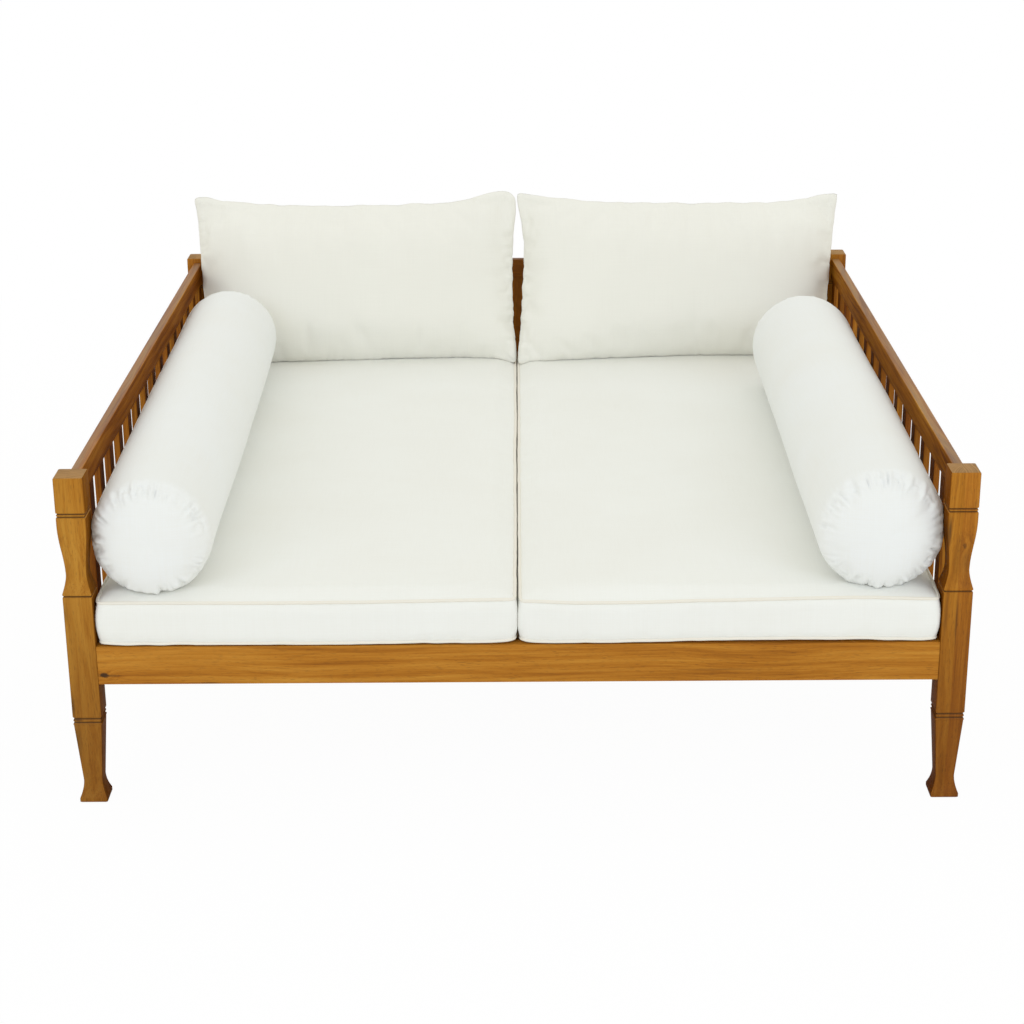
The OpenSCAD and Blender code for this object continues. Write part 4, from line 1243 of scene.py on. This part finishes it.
def rest_on(places, under):
    """Presses a soft piece flat where it would sink into the cushion under it."""
    mesh = bmesh.new()
    mesh.from_mesh(under.data)
    tree = BVHTree.FromBMesh(mesh)
    mesh.free()
    down = Vector((0, 0, -1))
    for i, place in enumerate(places):
        if place[2] < SEAT_HIGH[2] + 6 * MM:
            hit = tree.ray_cast(Vector((place[0], place[1], 1.0)), down)[0]
            if hit is not None and place[2] < hit.z + 0.4 * MM:
                places[i][2] = hit.z + 0.4 * MM
    return places


# Operators

class DaybedOperator:
    """What the daybed's operators share."""
    bl_options = {"REGISTER", "UNDO"}


# The posts' front face, and how deep a mark on it goes into the wood
FRONT_FACE = -HALF_D
MARK_DEPTH = 0.05


def marks(*rows, behind=0.0):
    """Smudges on a front face, each (x, z, half width, half height, strength).

    behind is how far their middle lies behind that face.
    """
    return tuple(((x, FRONT_FACE + behind, z), (wide, MARK_DEPTH, tall), strength)
                 for x, z, wide, tall, strength in rows)


def front_knots(*rows):
    """Knots on a front face, each (x, z, size, strength, how pale the eye is)."""
    return tuple(((x, FRONT_FACE, z), size, strength, eye) for x, z, size, strength, eye in rows)


POST_LOOKS = {
    "front_left": dict(
        staves=((-0.003, -0.055),), tone=0.15, seed=1, contrast=0.8,
        smudges=marks((-0.768, 0.190, 0.006, 0.03, 0.62), (-0.766, 0.120, 0.010, 0.045, 0.5),
                      (-0.767, 0.36, 0.006, 0.03, 0.35), (-0.764, 0.162, 0.016, 0.005, 0.6))),
    # front_right's low tone is in part painted shade, for a post that stood in less light
    "front_right": dict(
        staves=((-0.001, 0.07),), tone=-0.055, seed=9, contrast=0.55,
        smudges=marks((0.7235, 0.502, 0.0045, 0.036, 0.75), (0.7445, 0.338, 0.003, 0.055, 0.55),
                      (0.727, 0.345, 0.005, 0.05, 0.3), (0.748, 0.45, 0.020, 0.05, 0.2),
                      (0.756, 0.44, 0.010, 0.04, 0.22)),
        knots=front_knots((0.7513, 0.4729, 0.0050, 0.62, 0.9))),
    "rear_left": dict(staves=((-0.006, -0.05),), tone=0.0, seed=17, contrast=0.75),
    "rear_right": dict(staves=((0.005, 0.04),), tone=-0.04, seed=26, contrast=0.75),
}
APRON_LOOKS = {
    "front_apron": dict(
        along="X", seed=5, tone=0.045, contrast=0.62,
        knots=front_knots((-0.7115, 0.2455, 0.0056, 0.95, 0.0), (-0.686, 0.2905, 0.0018, 0.6, 0.0),
                          (-0.6845, 0.282, 0.0016, 0.6, 0.0)),
        smudges=(*marks((-0.7115, 0.2455, 0.004, 0.0035, 0.7), (-0.696, 0.2445, 0.016, 0.0022, 0.5),
                        (-0.530, 0.2305, 0.020, 0.0016, 0.6)),
                 *marks((0.34, 0.25, 0.09, 0.0025, 0.3), behind=2 * MM))),
    "rear_apron": dict(along="X", seed=14, tone=-0.01),
    "left_apron": dict(along="Y", seed=23),
    "right_apron": dict(along="Y", seed=31),
}
RAIL_LOOKS = {
    "left_top_rail": dict(along="Y", seed=42, tone=-0.03),
    "right_top_rail": dict(along="Y", seed=51, tone=-0.03),
    # back_top_rail's very low tone is painted shade, for the shadow that it lies in between the back
    # cushions
    "back_top_rail": dict(along="X", seed=60, tone=-0.3),
}


class DAYBED_OT_posts(DaybedOperator, bpy.types.Operator):
    """Model the four shaped posts with their grooves, waists and splayed feet"""
    bl_idname = "daybed.posts"
    bl_label = "Posts"

    def execute(self, context):
        wood = context.scene.daybed_wood
        pattern = four_sided_post("post_pattern", wood.post_ease)
        x, y = HALF_W - POST_W / 2, HALF_D - POST_W / 2
        for where, look in POST_LOOKS.items():
            end, side = where.split("_")
            centre = (x * SIDES[side], y * (-1 if end == "front" else 1), 0)
            piece = bpy.data.objects.new(f"{where}_post_shaped", pattern.data.copy())
            context.scene.collection.objects.link(piece)
            piece.data.transform(Matrix.Translation(centre))
            # The posts get painted shade on the faces that look along X, towards their foot and along their
            # grooves
            material = wood_material(
                f"post_wood_{where}", "Z", centre=centre, arcs=0.25, painted_side_shade=0.75,
                painted_foot_shade=0.68, groove_shade_heights=GROOVE_BOTTOMS, **look)
            settle(piece, "frame", material, [f"{where}_post"])
        bpy.data.objects.remove(pattern)
        return {"FINISHED"}


class DAYBED_OT_aprons(DaybedOperator, bpy.types.Operator):
    """Model the four aprons with eased edges and tenons"""
    bl_idname = "daybed.aprons"
    bl_label = "Aprons"

    def execute(self, context):
        for name, look in APRON_LOOKS.items():
            piece = joined_board(name, look["along"], context.scene.daybed_wood.apron_ease)
            settle(piece, "frame", wood_material(f"{name}_wood", arcs=0.6, **look), [name])
        return {"FINISHED"}


class DAYBED_OT_top_rails(DaybedOperator, bpy.types.Operator):
    """Model the three top rails with rounded upper edges and tenons"""
    bl_idname = "daybed.top_rails"
    bl_label = "Top Rails"

    def execute(self, context):
        for name, look in RAIL_LOOKS.items():
            piece = joined_board(name, look["along"], context.scene.daybed_wood.rail_ease)
            # The rails get painted shade on the faces that look along X and a painted sheen on their tops
            material = wood_material(
                f"{name}_wood", contrast=1.15, painted_side_shade=0.62, painted_top_sheen=0.34, **look)
            settle(piece, "frame", material, [name])
        return {"FINISHED"}


# The upright slats: their width, how far the outer ones stand off the posts, and the spaces in a row
SLAT_WIDTH = 35 * MM
SLAT_GAP = 2 * MM
SIDE_SPACES = 15
BACK_SPACES = 14


def slat_pitch(half_span, spaces):
    """Spacing of the slats between two posts."""
    return (2 * half_span - 2 * POST_W - 2 * SLAT_GAP - SLAT_WIDTH) / spaces


class DAYBED_OT_slats(DaybedOperator, bpy.types.Operator):
    """Finish the upright slats, whose machined shape comes with the frame"""
    bl_idname = "daybed.slats"
    bl_label = "Slats"

    def execute(self, context):
        side_pitch = slat_pitch(HALF_D, SIDE_SPACES)
        back_pitch = slat_pitch(HALF_W, BACK_SPACES)
        # The side slats' low tone and their side shade are painted shade, for the shade under the top rails
        # and beside the bolsters
        for name, seed in (("left_side_slats", 70), ("right_side_slats", 82)):
            refinish([name], wood_material(
                f"{name}_wood", "Z", seed, row=(1, side_pitch), contrast=0.95, arcs=0.3, tone=-0.13,
                painted_side_shade=0.85))
        refinish(["back_slats"], wood_material(
            "back_slats_wood", "Z", 95, row=(2, back_pitch), contrast=0.95, arcs=0.3, tone=-0.28,
            centre=(back_pitch / 2, 0, 0)))
        return {"FINISHED"}


class DAYBED_OT_deck(DaybedOperator, bpy.types.Operator):
    """Finish the seat slats, ledgers, centre bearer and centre leg"""
    bl_idname = "daybed.deck"
    bl_label = "Deck"

    def execute(self, context):
        names = [f"seat_slat_{i}" for i in range(1, 15)]
        pitch = node_box("seat_slat_8")[0][1] - node_box("seat_slat_7")[0][1]
        material = wood_material("seat_slat_wood", "X", 110, row=(1, pitch), arcs=0.5, tone=-0.02)
        refinish(names, material)
        inner = wood_material("inner_wood", "Y", 133, tone=-0.06, arcs=0.4)
        refinish(["left_ledger", "right_ledger", "centre_bearer"], inner)
        refinish(["centre_leg"], wood_material("centre_leg_wood", "Z", 140, tone=-0.02, arcs=0.3))
        return {"FINISHED"}


class DAYBED_OT_fittings(DaybedOperator, bpy.types.Operator):
    """Finish the brackets, hangers, bolts, screws and foot glides"""
    bl_idname = "daybed.fittings"
    bl_label = "Fittings"

    def execute(self, context):
        zinc = steel_material("zinc_plate", (0.62, 0.62, 0.6), 0.3)
        refinish([f"{end}_{side}_bracket" for end in ("front", "rear") for side in SIDES], zinc)
        refinish(["front_bearer_hanger", "rear_bearer_hanger"], zinc)
        refinish(["hanger_bolts", "hanger_nuts", "centre_leg_bolt"], zinc)
        screws = steel_material("screw_steel", (0.66, 0.6, 0.46), 0.26)
        refinish(["bracket_screws", "ledger_screws", "slat_screws"], screws)
        refinish(["foot_glides"], nylon_material("glide_nylon"))
        return {"FINISHED"}


# The cloth of back cushions and bolsters has cells this much smaller than the seats'
FINE_CELL = 0.85


def filled_pair(kind, sew, swell, near_seam, crease=0.0):
    """Sews a cover for each side and fills both at once; gives (side's name, piece, cover) for each."""
    made = []
    for name in SIDES:
        cover = sew(name)
        made.append((name, cover.build(f"{name}_{kind}_cover", crease), cover))
    inflate([(piece, set(sum(cover.seams, []))) for _, piece, cover in made], swell, near_seam)
    return made


class DAYBED_OT_seat_cushions(DaybedOperator, bpy.types.Operator):
    """Fill the two box seat cushions and sew their piping"""
    bl_idname = "daybed.seat_cushions"
    bl_label = "Seat Cushions"

    def execute(self, context):
        canvas = context.scene.daybed_canvas
        cloth = canvas_material("seat_canvas", canvas.seat_thread, canvas.shade)
        cream = canvas_material("piping_canvas", canvas.piping, canvas.shade, uv=False)
        pair = filled_pair(
            "seat", lambda name: seat_cover(name, canvas.cell, canvas.piping_r), canvas.seat_swell, 50 * MM)
        for name, piece, cover in pair:
            side, seeds = SIDES[name], SEAT_SEEDS[name]
            divide(piece)
            pucker(piece, cover.seams, reach=40 * MM, depth=1.7 * MM, spacing=21 * MM, seed=seeds["gathers"])
            undulate(piece, depth=1.2 * MM, size=0.17, seed=seeds["filling"])
            move_to(piece, seat_limits(read_points(piece), side))
            cord = piping(f"{name}_seat_piping", cord_rings(piece, cover, side), canvas.piping_r)
            move_to(cord, seat_limits(read_points(cord), side))
            settle(piece, f"{name}_seat", cloth, [f"{name}_seat_cushion"])
            settle(cord, f"{name}_seat", cream)
        return {"FINISHED"}


class DAYBED_OT_back_cushions(DaybedOperator, bpy.types.Operator):
    """Fill the two knife-edge back cushions"""
    bl_idname = "daybed.back_cushions"
    bl_label = "Back Cushions"

    def execute(self, context):
        canvas = context.scene.daybed_canvas
        cloth = canvas_material("back_cushion_canvas", canvas.back_thread, canvas.shade)
        pair = filled_pair(
            "back", lambda name: back_cover(name, canvas.cell * FINE_CELL, canvas.lean),
            canvas.pillow_swell, 40 * MM, crease=1.0)
        for name, piece, cover in pair:
            seeds = PILLOW_SEEDS[name]
            divide(piece, 2)
            pucker(piece, cover.seams, reach=55 * MM, depth=7.0 * MM, spacing=21 * MM, seed=seeds["gathers"],
                   stitched=0.15, strength=more_at_ends)
            hang(piece, depth=4.6 * MM, spacing=40 * MM, seed=seeds["folds"])
            undulate(piece, depth=1.8 * MM, size=0.15, seed=seeds["filling"], stretch=(1.0, 0.6, 0.4))
            places = back_limits(read_points(piece), SIDES[name])
            move_to(piece, rest_on(places, bpy.data.objects[f"{name}_seat_cover"]))
            settle(piece, f"{name}_back", cloth, [f"{name}_back_cushion"])
        return {"FINISHED"}


class DAYBED_OT_bolsters(DaybedOperator, bpy.types.Operator):
    """Fill the two bolsters with their gathered end panels"""
    bl_idname = "daybed.bolsters"
    bl_label = "Bolsters"

    def execute(self, context):
        canvas = context.scene.daybed_canvas
        cloth = canvas_material("bolster_canvas", canvas.bolster_thread, canvas.shade)
        pair = filled_pair(
            "bolster", lambda name: bolster_cover(name, canvas.cell * FINE_CELL),
            canvas.bolster_swell, 40 * MM)
        for name, piece, cover in pair:
            seeds = BOLSTER_SEEDS[name]
            divide(piece, 2)
            pucker(piece, cover.seams, reach=32 * MM, depth=7.5 * MM, spacing=11 * MM, seed=seeds["gathers"],
                   stitched=0.55)
            undulate(piece, depth=1.3 * MM, size=0.13, seed=seeds["filling"], stretch=(1.0, 0.5, 1.0))
            places = bolster_limits(read_points(piece), SIDES[name])
            move_to(piece, rest_on(places, bpy.data.objects[f"{name}_seat_cover"]))
            settle(piece, f"{name}_roll", cloth, [f"{name}_bolster"])
        return {"FINISHED"}


# Bluish lamps and a warmer surrounding light, which balance each other, and what the lamps look at
LAMP_COLOUR = (0.65, 0.755, 1.0)
FILL_COLOUR = (1.0, 0.978, 0.875)
LAMP_AIM = (0, 0, 0.35)
# How white the camera sees the floor near the daybed, and the distances over which it turns fully white
FLOOR_WHITE = 0.972
FLOOR_FADE = (1.1, 3.2)
# The photograph's viewpoint; the angles are the pitch down, the yaw and the roll in degrees
CAMERA_PLACE = (0.0069, -4.1204, 1.7762)
CAMERA_ANGLES = (19.886, -0.252, 0.449)
CAMERA_LENS, CAMERA_SENSOR = 74.855, 36.0
CAMERA_SHIFT = (0.0, -0.01807)


def softbox(name, place, size, power_in_watts):
    """A rectangular area light that looks at the daybed."""
    lamp = bpy.data.lights.new(name, "AREA")
    lamp.shape = "RECTANGLE"
    lamp.color = LAMP_COLOUR
    lamp.size, lamp.size_y = size
    lamp.energy = power_in_watts
    holder = bpy.data.objects.new(name, lamp)
    bpy.context.scene.collection.objects.link(holder)
    holder.location = place
    holder.rotation_euler = (Vector(LAMP_AIM) - Vector(place)).to_track_quat("-Z", "Y").to_euler()


def seen_or(g, seen, other):
    """A surface or background that the camera, mirrors and glass see one way, and light another."""
    path = g.node("ShaderNodeLightPath").outputs
    mirrored = g.math("MAXIMUM", path["Is Glossy Ray"], path["Is Transmission Ray"])
    ray = g.math("MAXIMUM", path["Is Camera Ray"], mirrored)
    return g.node("ShaderNodeMixShader", {0: ray, 1: other, 2: seen}).outputs[0]


class DAYBED_OT_stage(DaybedOperator, bpy.types.Operator):
    """Set up the white floor, soft studio lights and the camera"""
    bl_idname = "daybed.stage"
    bl_label = "Stage"

    def execute(self, context):
        scene, studio = context.scene, context.scene.daybed_studio
        nothing_selected()
        bpy.ops.mesh.primitive_plane_add(size=60.0, location=(0, 0, 0))
        floor = context.object
        floor.name = "studio_floor"
        g = Graph(bpy.data.materials.new("studio_floor"))
        flat = g.vector("MULTIPLY", g.coords(), (1.0, 1.0, 0.0))
        away = g.smooth(g.vector("LENGTH", flat), *FLOOR_FADE)
        plain = g.node("ShaderNodeBsdfDiffuse", {"Color": tuple(studio.floor)}).outputs[0]
        white = g.node("ShaderNodeEmission", {"Color": (1, 1, 1), "Strength": 1.0}).outputs[0]
        share_white = g.add(FLOOR_WHITE, g.mul(away, 1 - FLOOR_WHITE))
        bright = g.node("ShaderNodeMixShader", {0: share_white, 1: plain, 2: white}).outputs[0]
        floor.data.materials.append(g.finish(seen_or(g, bright, plain)))

        scene.world = bpy.data.worlds.new("studio")
        g = Graph(scene.world)
        seen = g.node("ShaderNodeBackground", {"Color": (1, 1, 1), "Strength": 1.0}).outputs[0]
        lit = g.node("ShaderNodeBackground", {"Color": FILL_COLOUR, "Strength": studio.fill}).outputs[0]
        g.finish(seen_or(g, seen, lit))

        softbox("left_softbox", (-2.7, -4.3, 3.0), (2.6, 2.4), studio.key)
        softbox("right_softbox", (2.7, -4.3, 3.0), (2.6, 2.4), studio.key)
        softbox("rear_softbox", (0, 1.7, 3.7), (4.4, 2.6), studio.top)

        camera = bpy.data.cameras.new("photo_camera")
        camera.lens, camera.sensor_width = CAMERA_LENS, CAMERA_SENSOR
        camera.shift_x, camera.shift_y = CAMERA_SHIFT
        camera.clip_end = 100.0
        holder = bpy.data.objects.new("photo_camera", camera)
        scene.collection.objects.link(holder)
        pitch, yaw, roll = (math.radians(angle) for angle in CAMERA_ANGLES)
        turn = Euler((math.radians(90) - pitch, 0, -yaw)).to_matrix() @ Matrix.Rotation(-roll, 3, "Z")
        holder.matrix_world = Matrix.Translation(CAMERA_PLACE) @ turn.to_4x4()
        scene.camera = holder
        scene.view_settings.view_transform = "Standard"
        return {"FINISHED"}


STEPS = (
    DAYBED_OT_stage, DAYBED_OT_posts, DAYBED_OT_aprons, DAYBED_OT_top_rails, DAYBED_OT_slats,
    DAYBED_OT_deck, DAYBED_OT_fittings, DAYBED_OT_seat_cushions, DAYBED_OT_back_cushions,
    DAYBED_OT_bolsters,
)


class VIEW3D_PT_daybed(bpy.types.Panel):
    """Lists the steps that build the daybed, and its sizes and colours"""
    bl_idname = "VIEW3D_PT_daybed"
    bl_label = "Outdoor Daybed"
    bl_space_type = "VIEW_3D"
    bl_region_type = "UI"
    bl_category = "Daybed"

    def draw(self, context):
        column = self.layout.column(align=True)
        for step in STEPS:
            column.operator(step.bl_idname)
        for name, group in GROUPS.items():
            box = self.layout.box()
            for key in group.__annotations__:
                box.prop(getattr(context.scene, name), key)


def register():
    for group in GROUPS.values():
        bpy.utils.register_class(group)
    for step in (*STEPS, VIEW3D_PT_daybed):
        bpy.utils.register_class(step)
    for name, group in GROUPS.items():
        setattr(bpy.types.Scene, name, PointerProperty(type=group))


def unregister():
    for name in GROUPS:
        delattr(bpy.types.Scene, name)
    for step in reversed((*STEPS, VIEW3D_PT_daybed)):
        bpy.utils.unregister_class(step)
    for group in reversed(GROUPS.values()):
        bpy.utils.unregister_class(group)


def main():
    register()
    for step in STEPS:
        area, name = step.bl_idname.split(".")
        getattr(getattr(bpy.ops, area), name)()


if __name__ == "__main__":
    main()
